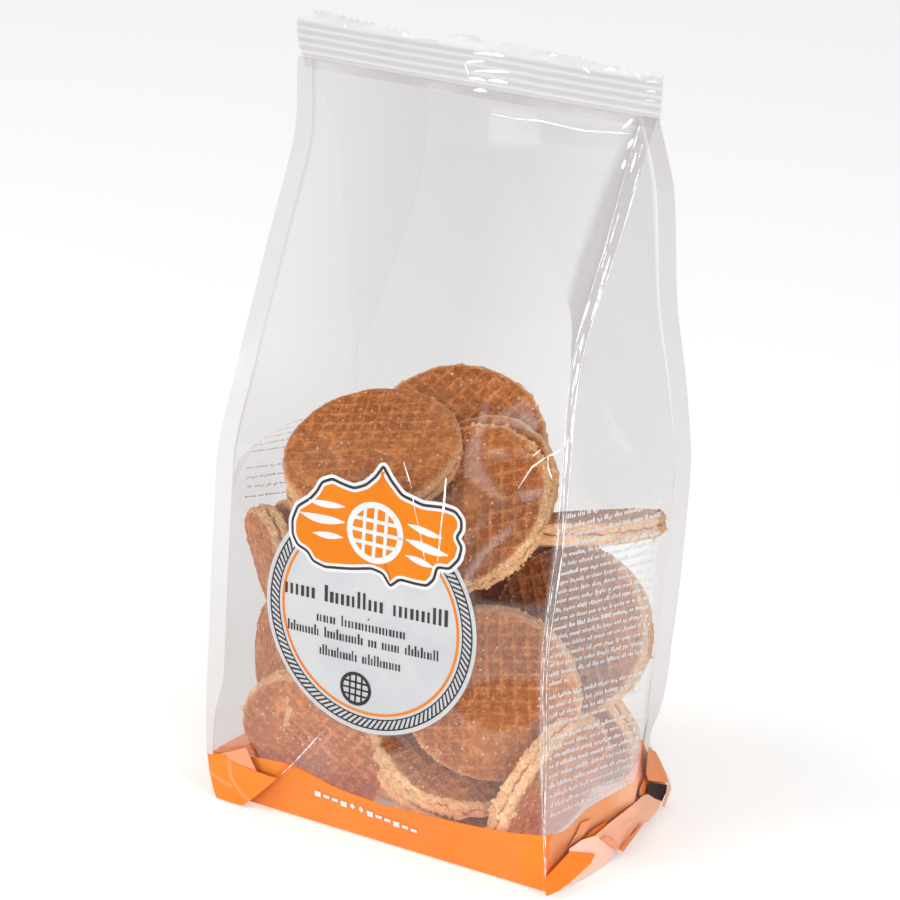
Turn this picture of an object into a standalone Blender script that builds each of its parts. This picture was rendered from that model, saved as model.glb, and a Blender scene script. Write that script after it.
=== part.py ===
"""Clear upright bag of small waffle biscuits, as one closed solid out to the film.

The bag has a flat base, side gussets with a fold down their middle, a narrow sealed
fin down each of its four corners and a ribbed seal with a toothed edge across the top.
The front faces -Y and the floor is Z = 0. Lengths are in millimetres; MM turns them
into metres.
"""
import math

import bmesh
import bpy

MM = 0.001

# Heights
SEAL_BOTTOM = 217.5
SEAL_TEETH = 229.0
BODY_TOP = 219.5

# Top seal
SEAL_LEFT = -58.5
SEAL_RIGHT = 57.3
SEAL_DEPTH = -6.15
SEAL_HALF_THICKNESS = 0.95
RIB_HEIGHT = 0.3
RIB_COUNT = 5
TOOTH_COUNT = 48
TOOTH_HEIGHT = 1.1

# Corner fins
FIN_THICKNESS = 0.8
FIN_THICKNESS_IN_SEAL = 0.5
FIN_LENGTH = 5.0

# How finely each panel is divided
FACE_STEPS = 12
GUSSET_STEPS = 5
ROW_HEIGHT = 6.5

# Curves up the bag: pairs of height and position of a corner's edge or a gusset's fold
FRONT_Y = ((0, -39.5), (25, -41.5), (100, -40.0), (135, -34.5), (165, -27.0), (200, -13.5), (219.5, -6.6))
BACK_Y = ((0, 39.0), (30, 36.0), (105, 36.5), (132, 30.0), (160, 19.0), (195, 9.5), (219.5, -5.7))
LEFT_X = ((0, -56.0), (14, -59.5), (107, -59.7), (133, -57.0), (165, -54.0), (195, -53.0), (219.5, -57.5))
FRONT_RIGHT_X = ((0, 56.0), (45, 53.5), (72, 51.8), (105, 53.5), (155, 50.5), (180, 53.0), (219.5, 56.5))
BACK_RIGHT_X = ((0, 56.3), (4, 57.0), (18, 49.7), (30, 52.6), (46, 54.5), (97, 56.0), (160, 55.5),
                (219.5, 56.7))
LEFT_FOLD_X = ((0, -61.0), (18, -70.0), (58, -73.0), (86, -78.0), (122, -41.5), (158, -25.5),
               (200, -14.5), (219.5, -14.0))
RIGHT_FOLD_X = ((0, 59.0), (22, 63.5), (60, 64.7), (104, 64.5), (142, 43.5), (170, 29.5),
                (200, 14.5), (219.5, 12.0))
FOLD_Y = ((0, 0.0), (100, -1.5), (140, -5.0), (219.5, SEAL_DEPTH))
FIN_ANGLE = ((0, 45.0), (100, 42.0), (170, 30.0), (219.5, 0.0))
FIN_REACH = ((0, 1.5), (24, 2.5), (40, FIN_LENGTH), (219.5, FIN_LENGTH))
PANEL_BULGE = ((0, 0.0), (40, 1.6), (95, 2.2), (150, 1.5), (195, 0.4), (219.5, 0.0))

# The toothed edge: pairs of x and height
TOP_EDGE = ((-58.5, 229.3), (-54.5, 232.6), (-40, 232.6), (-21, 231.5), (-14.5, 229.3), (-8, 231.2),
            (57.3, 230.5))

# Folds at the base: the flared ear at the front left, the two flaps on the right
EAR_OUTLINE = ((-57.4, 15.1), (-50.1, 16.0), (-34.0, 7.2), (-41.8, 2.0), (-44.0, 0.0), (-54.5, 0.0))
EAR_FRONT = -42.6
EAR_BACK = -37.0
FLAP_HEIGHT = 11.5
FLAPS = ((-27.0, -1.0, 61.6), (-4.0, 35.0, 59.4))
FLAP_INSIDE = 52.0
FLAP_EDGE = 57.0
FLAP_STEPS = 6
POCKET_CENTRE = (58.0, 33.5, 4.6)
POCKET_SIZE = (7.0, 8.0, 5.0)

FILM_COLOUR = (0.78, 0.77, 0.76, 1.0)


def follow(pairs, at):
    """Smooth value at a place along a few (place, value) pairs, without overshoot."""
    places = [place for place, _ in pairs]
    values = [value for _, value in pairs]
    if at <= places[0]:
        return values[0]
    if at >= places[-1]:
        return values[-1]
    k = max(i for i, place in enumerate(places[:-1]) if place <= at)
    slopes = [(values[i + 1] - values[i]) / (places[i + 1] - places[i]) for i in range(len(pairs) - 1)]

    def tangent(i):
        if i == 0:
            return slopes[0]
        if i == len(slopes):
            return slopes[-1]
        before = slopes[i - 1]
        after = slopes[i]
        if before * after <= 0:
            return 0.0
        return 2 * before * after / (before + after)

    span = places[k + 1] - places[k]
    t = (at - places[k]) / span
    start = values[k] * (2 * t ** 3 - 3 * t ** 2 + 1) + tangent(k) * span * (t ** 3 - 2 * t ** 2 + t)
    end = values[k + 1] * (3 * t ** 2 - 2 * t ** 3) + tangent(k + 1) * span * (t ** 3 - t ** 2)
    return start + end


def fin(tip, side_x, side_y, z):
    """Four points round a corner fin: root, tip, tip, root, in the order of the outline."""
    angle = math.radians(follow(FIN_ANGLE, z))
    out = (side_x * math.cos(angle), side_y * math.sin(angle))
    across = (-out[1], out[0])
    blend = max(0.0, (z - 150.0) / (BODY_TOP - 150.0))
    half = 0.5 * (FIN_THICKNESS + (FIN_THICKNESS_IN_SEAL - FIN_THICKNESS) * blend)
    reach = follow(FIN_REACH, z)
    root = (tip[0] - out[0] * reach, tip[1] - out[1] * reach)
    return [
        (root[0] - across[0] * half, root[1] - across[1] * half),
        (tip[0] - across[0] * half, tip[1] - across[1] * half),
        (tip[0] + across[0] * half, tip[1] + across[1] * half),
        (root[0] + across[0] * half, root[1] + across[1] * half),
    ]


def between(start, end, steps, bulge=0.0):
    """Points strictly between two corners, pushed out to the right-hand side of the way."""
    along = (end[0] - start[0], end[1] - start[1])
    length = math.hypot(*along)
    outward = (along[1] / length, -along[0] / length)
    points = []
    for i in range(1, steps):
        t = i / steps
        push = bulge * math.sin(math.pi * t) ** 0.7
        x = start[0] + along[0] * t + outward[0] * push
        y = start[1] + along[1] * t + outward[1] * push
        points.append((x, y))
    return points


def outline(z):
    """The bag's outline at one height, anticlockwise from above, from the front left corner."""
    front = follow(FRONT_Y, z)
    back = follow(BACK_Y, z)
    left = follow(LEFT_X, z)
    fold_y = follow(FOLD_Y, z)
    bulge = follow(PANEL_BULGE, z)
    front_left = fin((left, front), -1, -1, z)
    front_right = fin((follow(FRONT_RIGHT_X, z), front), 1, -1, z)
    back_right = fin((follow(BACK_RIGHT_X, z), back), 1, 1, z)
    back_left = fin((left, back), -1, 1, z)
    right_fold = (follow(RIGHT_FOLD_X, z), fold_y)
    left_fold = (follow(LEFT_FOLD_X, z), fold_y)
    points = list(front_left)
    points += between(front_left[-1], front_right[0], FACE_STEPS, bulge)
    points += front_right
    points += between(front_right[-1], right_fold, GUSSET_STEPS)
    points.append(right_fold)
    points += between(right_fold, back_right[0], GUSSET_STEPS)
    points += back_right
    points += between(back_right[-1], back_left[0], FACE_STEPS, bulge)
    points += back_left
    points += between(back_left[-1], left_fold, GUSSET_STEPS)
    points.append(left_fold)
    points += between(left_fold, front_left[0], GUSSET_STEPS)
    return points


def mesh_object(name, bm):
    """A named object from a bmesh, with its faces turned outward and scaled to metres."""
    bmesh.ops.recalc_face_normals(bm, faces=bm.faces)
    bmesh.ops.scale(bm, vec=(MM, MM, MM), verts=bm.verts)
    mesh = bpy.data.meshes.new(name)
    bm.to_mesh(mesh)
    bm.free()
    thing = bpy.data.objects.new(name, mesh)
    bpy.context.scene.collection.objects.link(thing)
    return thing


def make_body():
    """The filled bag from the floor to inside the seal, as rings joined row by row."""
    rows = round(BODY_TOP / ROW_HEIGHT)
    bm = bmesh.new()
    rings = []
    for row in range(rows + 1):
        z = BODY_TOP * row / rows
        rings.append([bm.verts.new((x, y, z)) for x, y in outline(z)])
    count = len(rings[0])
    for lower, upper in zip(rings, rings[1:]):
        for i in range(count):
            j = (i + 1) % count
            bm.faces.new((lower[i], lower[j], upper[j], upper[i]))
    bm.faces.new(rings[0])
    bm.faces.new(rings[-1])
    return mesh_object("bag", bm)


def seal_rows():
    """Height and half thickness of each row of the seal: ribs above and below a flat."""
    rows = [(SEAL_BOTTOM, SEAL_HALF_THICKNESS)]
    pitch = (SEAL_TEETH - SEAL_BOTTOM - 1.0) / RIB_COUNT
    for rib in range(RIB_COUNT):
        base = SEAL_BOTTOM + 0.5 + rib * pitch
        rows.append((base + 0.25 * pitch, SEAL_HALF_THICKNESS))
        rows.append((base + 0.65 * pitch, SEAL_HALF_THICKNESS + RIB_HEIGHT))
    rows.append((SEAL_TEETH, SEAL_HALF_THICKNESS - 0.2))
    return rows


def make_seal():
    """The ribbed seal across the top, with a row of cut teeth along its edge."""
    bm = bmesh.new()
    rows = seal_rows()
    columns = [SEAL_LEFT + (SEAL_RIGHT - SEAL_LEFT) * i / TOOTH_COUNT for i in range(TOOTH_COUNT + 1)]
    sheets = {}
    for side in (-1, 1):
        sheets[side] = [[bm.verts.new((x, SEAL_DEPTH + side * half, z)) for x in columns] for z, half in rows]
        teeth = []
        for i in range(TOOTH_COUNT):
            x = 0.5 * (columns[i] + columns[i + 1])
            uneven = 0.25 * math.sin(2.3 * i + side)
            top = follow(TOP_EDGE, x) + TOOTH_HEIGHT + uneven
            teeth.append(bm.verts.new((x, SEAL_DEPTH + side * 0.6, top)))
        for i, x in enumerate(columns):
            sheets[side][-1][i].co.z = follow(TOP_EDGE, x) - 0.2
        sheets[side].append(teeth)
    front = sheets[-1]
    back = sheets[1]
    for sheet in (front, back):
        for lower, upper in zip(sheet[:-2], sheet[1:-1]):
            for i in range(TOOTH_COUNT):
                bm.faces.new((lower[i], lower[i + 1], upper[i + 1], upper[i]))
        for i in range(TOOTH_COUNT):
            bm.faces.new((sheet[-2][i], sheet[-2][i + 1], sheet[-1][i]))
    for i in range(TOOTH_COUNT):
        bm.faces.new((front[0][i], front[0][i + 1], back[0][i + 1], back[0][i]))
        bm.faces.new((front[-2][i], back[-2][i], back[-1][i], front[-1][i]))
        bm.faces.new((front[-1][i], back[-1][i], back[-2][i + 1], front[-2][i + 1]))
    for end in (0, TOOTH_COUNT):
        for row in range(len(rows) - 1):
            bm.faces.new((front[row][end], back[row][end], back[row + 1][end], front[row + 1][end]))
    return mesh_object("seal", bm)


def extruded(name, profile, start, end, place):
    """A prism: a closed profile moved from one value to another along its third axis."""
    bm = bmesh.new()
    near = [bm.verts.new(place(a, b, start)) for a, b in profile]
    far = [bm.verts.new(place(a, b, end)) for a, b in profile]
    bm.faces.new(near)
    bm.faces.new(far)
    for i in range(len(profile)):
        j = (i + 1) % len(profile)
        bm.faces.new((near[i], near[j], far[j], far[i]))
    return mesh_object(name, bm)


def make_ear():
    """The corner of film folded forward at the front left of the base."""
    return extruded("ear", EAR_OUTLINE, EAR_FRONT, EAR_BACK, lambda x, z, y: (x, y, z))


def make_flap(number, start, end, reach):
    """One rolled flap of the folded bottom seam, along the right side of the base."""
    profile = [(FLAP_INSIDE, 0.0), (FLAP_INSIDE, FLAP_HEIGHT)]
    for i in range(FLAP_STEPS + 1):
        turn = math.pi * i / FLAP_STEPS
        x = FLAP_EDGE + (reach - FLAP_EDGE) * math.sin(turn)
        z = 0.5 * FLAP_HEIGHT * (1 + math.cos(turn))
        profile.append((x, z))
    return extruded(f"flap_{number}", profile, start, end, lambda x, z, y: (x, y, z))


def make_pocket():
    """The open end of the rolled corner at the back right, to be cut out."""
    bm = bmesh.new()
    bmesh.ops.create_cube(bm, size=1.0)
    bmesh.ops.scale(bm, vec=POCKET_SIZE, verts=bm.verts)
    bmesh.ops.translate(bm, vec=POCKET_CENTRE, verts=bm.verts)
    return mesh_object("pocket", bm)


def combine(target, tool, operation):
    """Apply one exact Boolean to the target and remove the tool."""
    modifier = target.modifiers.new(tool.name, "BOOLEAN")
    modifier.operation = operation
    modifier.solver = "EXACT"
    modifier.object = tool
    bpy.context.view_layer.update()
    evaluated = target.evaluated_get(bpy.context.evaluated_depsgraph_get())
    mesh = bpy.data.meshes.new_from_object(evaluated)
    target.modifiers.clear()
    target.data = mesh
    bpy.data.objects.remove(tool)


def film_material():
    material = bpy.data.materials.new("clear_film")
    material.use_nodes = True
    shader = material.node_tree.nodes["Principled BSDF"]
    shader.inputs["Base Color"].default_value = FILM_COLOUR
    shader.inputs["Roughness"].default_value = 0.15
    shader.inputs["Metallic"].default_value = 0.0
    return material


def main():
    for thing in list(bpy.data.objects):
        bpy.data.objects.remove(thing)
    bag = make_body()
    combine(bag, make_seal(), "UNION")
    combine(bag, make_ear(), "UNION")
    for number, (start, end, reach) in enumerate(FLAPS):
        combine(bag, make_flap(number, start, end, reach), "UNION")
    combine(bag, make_pocket(), "DIFFERENCE")
    bag.data.materials.clear()
    bag.data.materials.append(film_material())


main()
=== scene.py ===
"""A clear block-bottom bag of small syrup waffles: film, print and the waffles inside it."""
import math

import bmesh
import bpy
import numpy as np
from mathutils import Matrix, Vector


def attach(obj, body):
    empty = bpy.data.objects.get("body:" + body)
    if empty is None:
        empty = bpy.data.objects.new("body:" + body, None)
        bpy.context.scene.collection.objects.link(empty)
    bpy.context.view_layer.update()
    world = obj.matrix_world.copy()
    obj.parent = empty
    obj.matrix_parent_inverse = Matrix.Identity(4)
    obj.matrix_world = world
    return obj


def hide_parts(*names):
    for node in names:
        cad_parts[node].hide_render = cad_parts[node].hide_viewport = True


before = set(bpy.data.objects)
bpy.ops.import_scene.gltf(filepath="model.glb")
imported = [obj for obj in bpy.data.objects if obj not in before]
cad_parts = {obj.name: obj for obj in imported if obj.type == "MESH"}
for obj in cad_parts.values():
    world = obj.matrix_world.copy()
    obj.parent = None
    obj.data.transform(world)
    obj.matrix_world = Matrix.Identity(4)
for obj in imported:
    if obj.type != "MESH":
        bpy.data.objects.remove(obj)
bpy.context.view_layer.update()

MM = 0.001

# Bag, in millimetres: the same curves as the solid one
SEAL_BOTTOM = 217.5
SEAL_TEETH = 229.0
BODY_TOP = 219.5
SEAL_LEFT = -58.5
SEAL_RIGHT = 57.3
SEAL_DEPTH = -6.15
TOOTH_COUNT = 48
TOOTH_HEIGHT = 1.1
FRONT_Y = ((0, -39.5), (25, -41.5), (100, -40.0), (135, -34.5), (165, -27.0), (200, -13.5), (219.5, -6.6))
BACK_Y = ((0, 39.0), (30, 36.0), (105, 36.5), (132, 30.0), (160, 19.0), (195, 9.5), (219.5, -5.7))
LEFT_X = ((0, -56.0), (14, -59.5), (107, -59.7), (133, -57.0), (165, -54.0), (195, -53.0), (219.5, -57.5))
FRONT_RIGHT_X = ((0, 56.0), (45, 53.5), (72, 51.8), (105, 53.5), (155, 50.5), (180, 53.0), (219.5, 56.5))
BACK_RIGHT_X = ((0, 56.3), (4, 57.0), (18, 49.7), (30, 52.6), (46, 54.5), (97, 56.0), (160, 55.5),
                (219.5, 56.7))
LEFT_FOLD_X = ((0, -61.0), (18, -70.0), (58, -73.0), (86, -78.0), (122, -41.5), (158, -25.5),
               (200, -14.5), (219.5, -14.0))
RIGHT_FOLD_X = ((0, 59.0), (22, 63.5), (60, 64.7), (104, 64.5), (142, 43.5), (170, 29.5),
                (200, 14.5), (219.5, 12.0))
FOLD_Y = ((0, 0.0), (100, -1.5), (140, -5.0), (219.5, SEAL_DEPTH))
FIN_ANGLE = ((0, 45.0), (100, 42.0), (170, 30.0), (219.5, 0.0))
FIN_REACH = ((0, 1.5), (24, 2.5), (40, 5), (219.5, 5))
PANEL_BULGE = ((0, 0.0), (40, 1.6), (95, 2.2), (150, 1.5), (195, 0.4), (219.5, 0.0))
# The seal's cut edge: smooth and toothed parts
TOP_EDGE = ((-58.5, 229.0), (-57.6, 230.9), (-53.6, 231.2), (-52.6, 233.6), (-47.1, 233.8), (-42.1, 233.2),
            (-37.2, 233.1), (-30.6, 232.6), (-24.1, 232.1), (-20.8, 231.8), (-16.0, 230.9), (-13.7, 230.6),
            (-11.2, 231.5), (-6.5, 232.9), (0.1, 233.7), (1.1, 232.2), (4.9, 232.9), (5.9, 231.5), (8.3, 233.6),
            (13.9, 233.3), (26.3, 232.9), (32.4, 232.8), (35.5, 232.1), (46.1, 231.8), (52.1, 231.9),
            (57.3, 232.0))
TOOTHED = ((-53.0, 0.0), (-51.5, 1.0), (-24.0, 1.0), (-21.0, 0.25), (-12.0, 0.1), (-6.0, 0.35), (0.0, 0.7),
           (5.5, 0.3), (9.0, 1.0), (33.0, 0.9), (37.0, 0.25), (44.0, 0.3), (47.0, 0.75), (57.0, 0.6))

PANELS = ("front", "right_front", "right_rear", "back", "left_rear", "left_front")
CORNERS = {
    "front_left": (LEFT_X, FRONT_Y, -1, -1),
    "front_right": (FRONT_RIGHT_X, FRONT_Y, 1, -1),
    "back_right": (BACK_RIGHT_X, BACK_Y, 1, 1),
    "back_left": (LEFT_X, BACK_Y, -1, 1),
}


# ---------------------------------------------------------------- camera, floor and light

def place_camera():
    """A long lens a little above the bag and to its right."""
    turn, height, roll = math.radians(28.48), math.radians(19.37), math.radians(3.16)
    back = Vector((math.sin(turn) * math.cos(height), -math.cos(turn) * math.cos(height), math.sin(height)))
    right = Vector((math.cos(turn), math.sin(turn), 0.0))
    up = right.cross(-back)
    place = right * -0.0012 + Vector((0.0, -0.00615, 0.1123)) + back * 0.8894
    x_axis = right * math.cos(roll) + up * math.sin(roll)
    y_axis = up * math.cos(roll) - right * math.sin(roll)
    data = bpy.data.cameras.new("camera")
    data.sensor_width = 36.0
    data.lens = 3080.8 / 900.0 * 36.0
    data.clip_start = 0.01
    data.clip_end = 60.0
    camera = bpy.data.objects.new("camera", data)
    bpy.context.scene.collection.objects.link(camera)
    matrix = Matrix((x_axis, y_axis, back)).transposed().to_4x4()
    matrix.translation = place
    camera.matrix_world = matrix
    bpy.context.scene.camera = camera


def add_light(name, place, aim, size, power):
    data = bpy.data.lights.new(name, "AREA")
    data.shape = "RECTANGLE"
    data.size, data.size_y = size
    data.energy = power
    lamp = bpy.data.objects.new(name, data)
    bpy.context.scene.collection.objects.link(lamp)
    lamp.location = place
    lamp.rotation_euler = (Vector(aim) - Vector(place)).to_track_quat("-Z", "Y").to_euler()
    lamp.visible_glossy = False
    return lamp


def new_material(name):
    """A node material with its output; the caller adds the shaders."""
    material = bpy.data.materials.new(name)
    material.use_nodes = True
    tree = material.node_tree
    tree.nodes.clear()
    out = tree.nodes.new("ShaderNodeOutputMaterial")
    return material, tree, out


def node(tree, kind, inputs=None, **settings):
    """A node with its settings and inputs; an input that is a socket is linked."""
    made = tree.nodes.new(kind)
    for key, value in settings.items():
        setattr(made, key, value)
    for key, value in (inputs or {}).items():
        if isinstance(value, bpy.types.NodeSocket):
            tree.links.new(value, made.inputs[key])
        else:
            made.inputs[key].default_value = value
    return made


def maths(tree, operation, a, b=0.0, c=0.0, clamp=False):
    return node(tree, "ShaderNodeMath", {0: a, 1: b, 2: c}, operation=operation, use_clamp=clamp).outputs[0]


def mix_colour(tree, factor, a, b, blend="MIX"):
    made = node(tree, "ShaderNodeMix", {0: factor, 6: a, 7: b}, data_type="RGBA", blend_type=blend)
    return made.outputs[2]


def stretch(tree, value, low, high, to_low=0.0, to_high=1.0):
    """A value eased from one span to another."""
    made = node(tree, "ShaderNodeMapRange", {0: value, 1: low, 2: high, 3: to_low, 4: to_high},
                interpolation_type="SMOOTHSTEP")
    return made.outputs[0]


def make_surroundings():
    """White room, pale floor and soft lights."""
    scene = bpy.context.scene
    scene.view_settings.view_transform = "Standard"
    scene.cycles.transparent_max_bounces = 48
    world = bpy.data.worlds.new("room")
    scene.world = world
    world.use_nodes = True
    tree = world.node_tree
    tree.nodes.clear()
    path = node(tree, "ShaderNodeLightPath")
    up = node(tree, "ShaderNodeSeparateXYZ", {0: node(tree, "ShaderNodeTexCoord").outputs["Generated"]})
    rise = stretch(tree, up.outputs[2], -0.1, 0.75, 0.34, 0.66)
    seen = maths(tree, "MAXIMUM", rise, path.outputs["Is Camera Ray"])
    shade = node(tree, "ShaderNodeBackground", {"Color": (1.0, 0.995, 0.985, 1.0), "Strength": seen})
    out = node(tree, "ShaderNodeOutputWorld", {0: shade.outputs[0]})

    bm = bmesh.new()
    bmesh.ops.create_grid(bm, x_segments=8, y_segments=8, size=7.0)
    mesh = bpy.data.meshes.new("floor")
    bm.to_mesh(mesh)
    bm.free()
    floor = bpy.data.objects.new("floor", mesh)
    scene.collection.objects.link(floor)
    floor.location.z = -0.0002
    material, tree, out = new_material("floor_paint")
    wash = node(tree, "ShaderNodeTexNoise", {"Scale": 1.5, "Detail": 3.0})
    tone = mix_colour(tree, wash.outputs[0], (0.9, 0.9, 0.9, 1), (0.93, 0.93, 0.925, 1))
    paint = node(tree, "ShaderNodeBsdfPrincipled", {"Base Color": tone, "Roughness": 0.75,
                                                    "Specular IOR Level": 0.1,
                                                    "Emission Color": (1, 1, 1, 1),
                                                    "Emission Strength": 0.27})
    tree.links.new(paint.outputs[0], out.inputs[0])
    mesh.materials.append(material)

    add_light("key_light", (-0.75, -0.75, 1.15), (0, 0, 0.1), (0.4, 0.4), 5.2)
    add_light("side_light", (1.15, -0.55, 0.75), (0, 0, 0.1), (0.4, 0.5), 4.8)
    add_light("low_right_light", (0.72, -1.05, 0.24), (0.02, 0, 0.04), (0.5, 0.25), 4.6)
    add_light("low_left_light", (-0.50, -1.15, 0.16), (-0.02, 0, 0.03), (0.5, 0.25), 4.8)


# ---------------------------------------------------------------- shapes of the bag

def follow(pairs, at):
    """Smooth values at places along a few (place, value) pairs, without overshoot."""
    places = np.array([place for place, _ in pairs], float)
    values = np.array([value for _, value in pairs], float)
    slopes = np.diff(values) / np.diff(places)
    product = slopes[:-1] * slopes[1:]
    total = np.where(product > 0, slopes[:-1] + slopes[1:], 1.0)
    inner = np.where(product > 0, 2 * product / total, 0.0)
    tangents = np.concatenate(([slopes[0]], inner, [slopes[-1]]))
    at = np.clip(np.asarray(at, float), places[0], places[-1])
    k = np.clip(np.searchsorted(places, at, side="right") - 1, 0, len(slopes) - 1)
    span = places[k + 1] - places[k]
    t = (at - places[k]) / span
    start = values[k] * (2 * t ** 3 - 3 * t ** 2 + 1) + tangents[k] * span * (t ** 3 - 2 * t ** 2 + t)
    end = values[k + 1] * (3 * t ** 2 - 2 * t ** 3) + tangents[k + 1] * span * (t ** 3 - t ** 2)
    return start + end


def lattice(cells, seed):
    """A steady random value from 0 to 1 for each whole-number cell."""
    mixed = cells[..., 0] * 73856093 ^ cells[..., 1] * 19349663 ^ cells[..., 2] * 83492791 ^ seed * 2654435761
    mixed = (mixed ^ (mixed >> 13)) * 1274126177 & 0xFFFFFFFF
    mixed = (mixed ^ (mixed >> 16)) * 2246822519 & 0xFFFFFFFF
    return (mixed >> 8 & 0xFFFF) / 65535.0


def rough(points, size, seed, octaves=1):
    """Smooth noise from -1 to 1 at points, with bumps of about the given size."""
    points = np.asarray(points, float)
    total = np.zeros(points.shape[:-1])
    weight, reach = 1.0, 0.0
    for octave in range(octaves):
        scaled = points / size * 2 ** octave + 37.7 * octave
        base = np.floor(scaled).astype(np.int64)
        part = scaled - base
        part = part * part * (3 - 2 * part)
        value = np.zeros(points.shape[:-1])
        for corner_at in range(8):
            step = np.array([corner_at & 1, corner_at >> 1 & 1, corner_at >> 2])
            share = np.prod(np.where(step == 1, part, 1 - part), axis=-1)
            value += share * lattice(base + step, seed + octave)
        total += weight * (value * 2 - 1)
        reach += weight
        weight *= 0.5
    return total / reach


def corner(name, z):
    """Root and tip of a corner fin at heights z, each as x and y."""
    across, along, side_x, side_y = CORNERS[name]
    tip = np.stack([follow(across, z), follow(along, z)], -1)
    angle = np.radians(follow(FIN_ANGLE, z))
    out = np.stack([side_x * np.cos(angle), side_y * np.sin(angle)], -1)
    return tip - out * follow(FIN_REACH, z)[..., None], tip


def fold(side, z):
    """The gusset's middle crease at heights z, as x and y."""
    pairs = RIGHT_FOLD_X if side == "right" else LEFT_FOLD_X
    return np.stack([follow(pairs, z), follow(FOLD_Y, z)], -1)


def ends(panel, z):
    """Where a panel starts and ends at heights z, going round anticlockwise seen from above."""
    if panel == "front":
        return corner("front_left", z)[0], corner("front_right", z)[0]
    if panel == "right_front":
        return corner("front_right", z)[0], fold("right", z)
    if panel == "right_rear":
        return fold("right", z), corner("back_right", z)[0]
    if panel == "back":
        return corner("back_right", z)[0], corner("back_left", z)[0]
    if panel == "left_rear":
        return corner("back_left", z)[0], fold("left", z)
    return fold("left", z), corner("front_left", z)[0]


# Creases: panel, points (distance across from the panel's start, height), height and width of the ridge
CREASES = (
)


def near_line(across, z, line):
    """Distance from points to a broken line."""
    best = np.full(across.shape, 1e9)
    for (x0, z0), (x1, z1) in zip(line, line[1:]):
        way = np.array([x1 - x0, z1 - z0])
        t = np.clip(((across - x0) * way[0] + (z - z0) * way[1]) / (way @ way), 0, 1)
        best = np.minimum(best, np.hypot(across - x0 - t * way[0], z - z0 - t * way[1]))
    return best


def ripple(panel, across, length, z):
    """How far the film stands off its smooth shape."""
    edge = np.clip(np.minimum(across, length - across) / 6.0, 0, 1)
    ground = np.clip(z / 12.0, 0, 1) * np.clip((BODY_TOP - z) / 12.0, 0, 1)
    seed = 11 + 5 * PANELS.index(panel)
    points = np.stack([across, z * 0.6, np.zeros_like(z)], -1)
    high = np.clip((z - 90) / 40.0, 0, 1)
    soft = rough(points, 34.0, seed) * (0.5 + 0.7 * high)
    soft += rough(points, 15.0, seed + 2) * (0.16 + 0.22 * high)
    push = soft * edge * ground
    for name, line, height, width in CREASES:
        if name == panel:
            push = push + height * np.exp(-near_line(across, z, line) / width) * ground
    return push


def wall(panel, t, z, lift=0.0):
    """Points on a panel of the film: t goes from 0 to 1 across it, and lift stands off it."""
    t = np.asarray(t, float)
    z = np.asarray(z, float)
    start, end = ends(panel, z)
    way = end - start
    length = np.maximum(np.linalg.norm(way, axis=-1), 1e-6)
    outward = np.stack([way[..., 1], -way[..., 0]], -1) / length[..., None]
    push = ripple(panel, t * length, length, z) + lift
    if panel in ("front", "back"):
        push = push + follow(PANEL_BULGE, z) * np.sin(np.pi * np.clip(t, 0, 1)) ** 0.7
    place = start + way * t[..., None] + outward * push[..., None]
    return np.concatenate([place, z[..., None]], -1)


def on_panel(panel, across, z, lift):
    """Points at distances across a panel from its start."""
    start, end = ends(panel, np.asarray(z, float))
    length = np.linalg.norm(end - start, axis=-1)
    return wall(panel, np.asarray(across, float) / length, z, lift)


def on_front(x, z, lift):
    """Points on the front panel by their true x."""
    start, end = ends("front", np.asarray(z, float))
    t = (np.asarray(x, float) - start[..., 0]) / (end[..., 0] - start[..., 0])
    return wall("front", t, z, lift)


# ---------------------------------------------------------------- mesh helpers

def add_piece(name, points, faces, material, smooth=True, sharp=None):
    """A mesh piece from points in millimetres that rides on the bag."""
    mesh = bpy.data.meshes.new(name)
    mesh.from_pydata((np.asarray(points) * MM).tolist(), [], faces)
    mesh.validate()
    mesh.polygons.foreach_set("use_smooth", [smooth] * len(mesh.polygons))
    if sharp is not None:
        mesh.set_sharp_from_angle(angle=math.radians(sharp))
    mesh.materials.append(material)
    thing = bpy.data.objects.new(name, mesh)
    bpy.context.scene.collection.objects.link(thing)
    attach(thing, "root")
    return thing


class Sheet:
    """Collects grids of points into one mesh."""

    def __init__(self):
        self.points = []
        self.faces = []
        self.count = 0

    def grid(self, points, close_rows=False, close_columns=False, flip=False):
        """Adds a grid of points with shape (rows, columns, 3)."""
        rows, columns = points.shape[:2]
        index = np.arange(rows * columns).reshape(rows, columns) + self.count
        if close_columns:
            index = np.concatenate([index, index[:, :1]], 1)
        if close_rows:
            index = np.concatenate([index, index[:1]], 0)
        quads = np.stack([index[:-1, :-1], index[:-1, 1:], index[1:, 1:], index[1:, :-1]], -1).reshape(-1, 4)
        if flip:
            quads = quads[:, ::-1]
        self.points.append(points.reshape(-1, 3))
        self.faces += quads.tolist()
        self.count += rows * columns
        return index

    def finish(self, name, material, smooth=True, sharp=None):
        return add_piece(name, np.concatenate(self.points), self.faces, material, smooth, sharp)


# ---------------------------------------------------------------- finishes

def group_nodes(name, inputs, outputs):
    """An empty shader node group with named sockets."""
    group = bpy.data.node_groups.new(name, "ShaderNodeTree")
    for label, kind, value in inputs:
        socket = group.interface.new_socket(name=label, in_out="INPUT", socket_type=kind)
        if value is not None:
            socket.default_value = value
    for label, kind in outputs:
        group.interface.new_socket(name=label, in_out="OUTPUT", socket_type=kind)
    return group, group.nodes.new("NodeGroupInput"), group.nodes.new("NodeGroupOutput")


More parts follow.
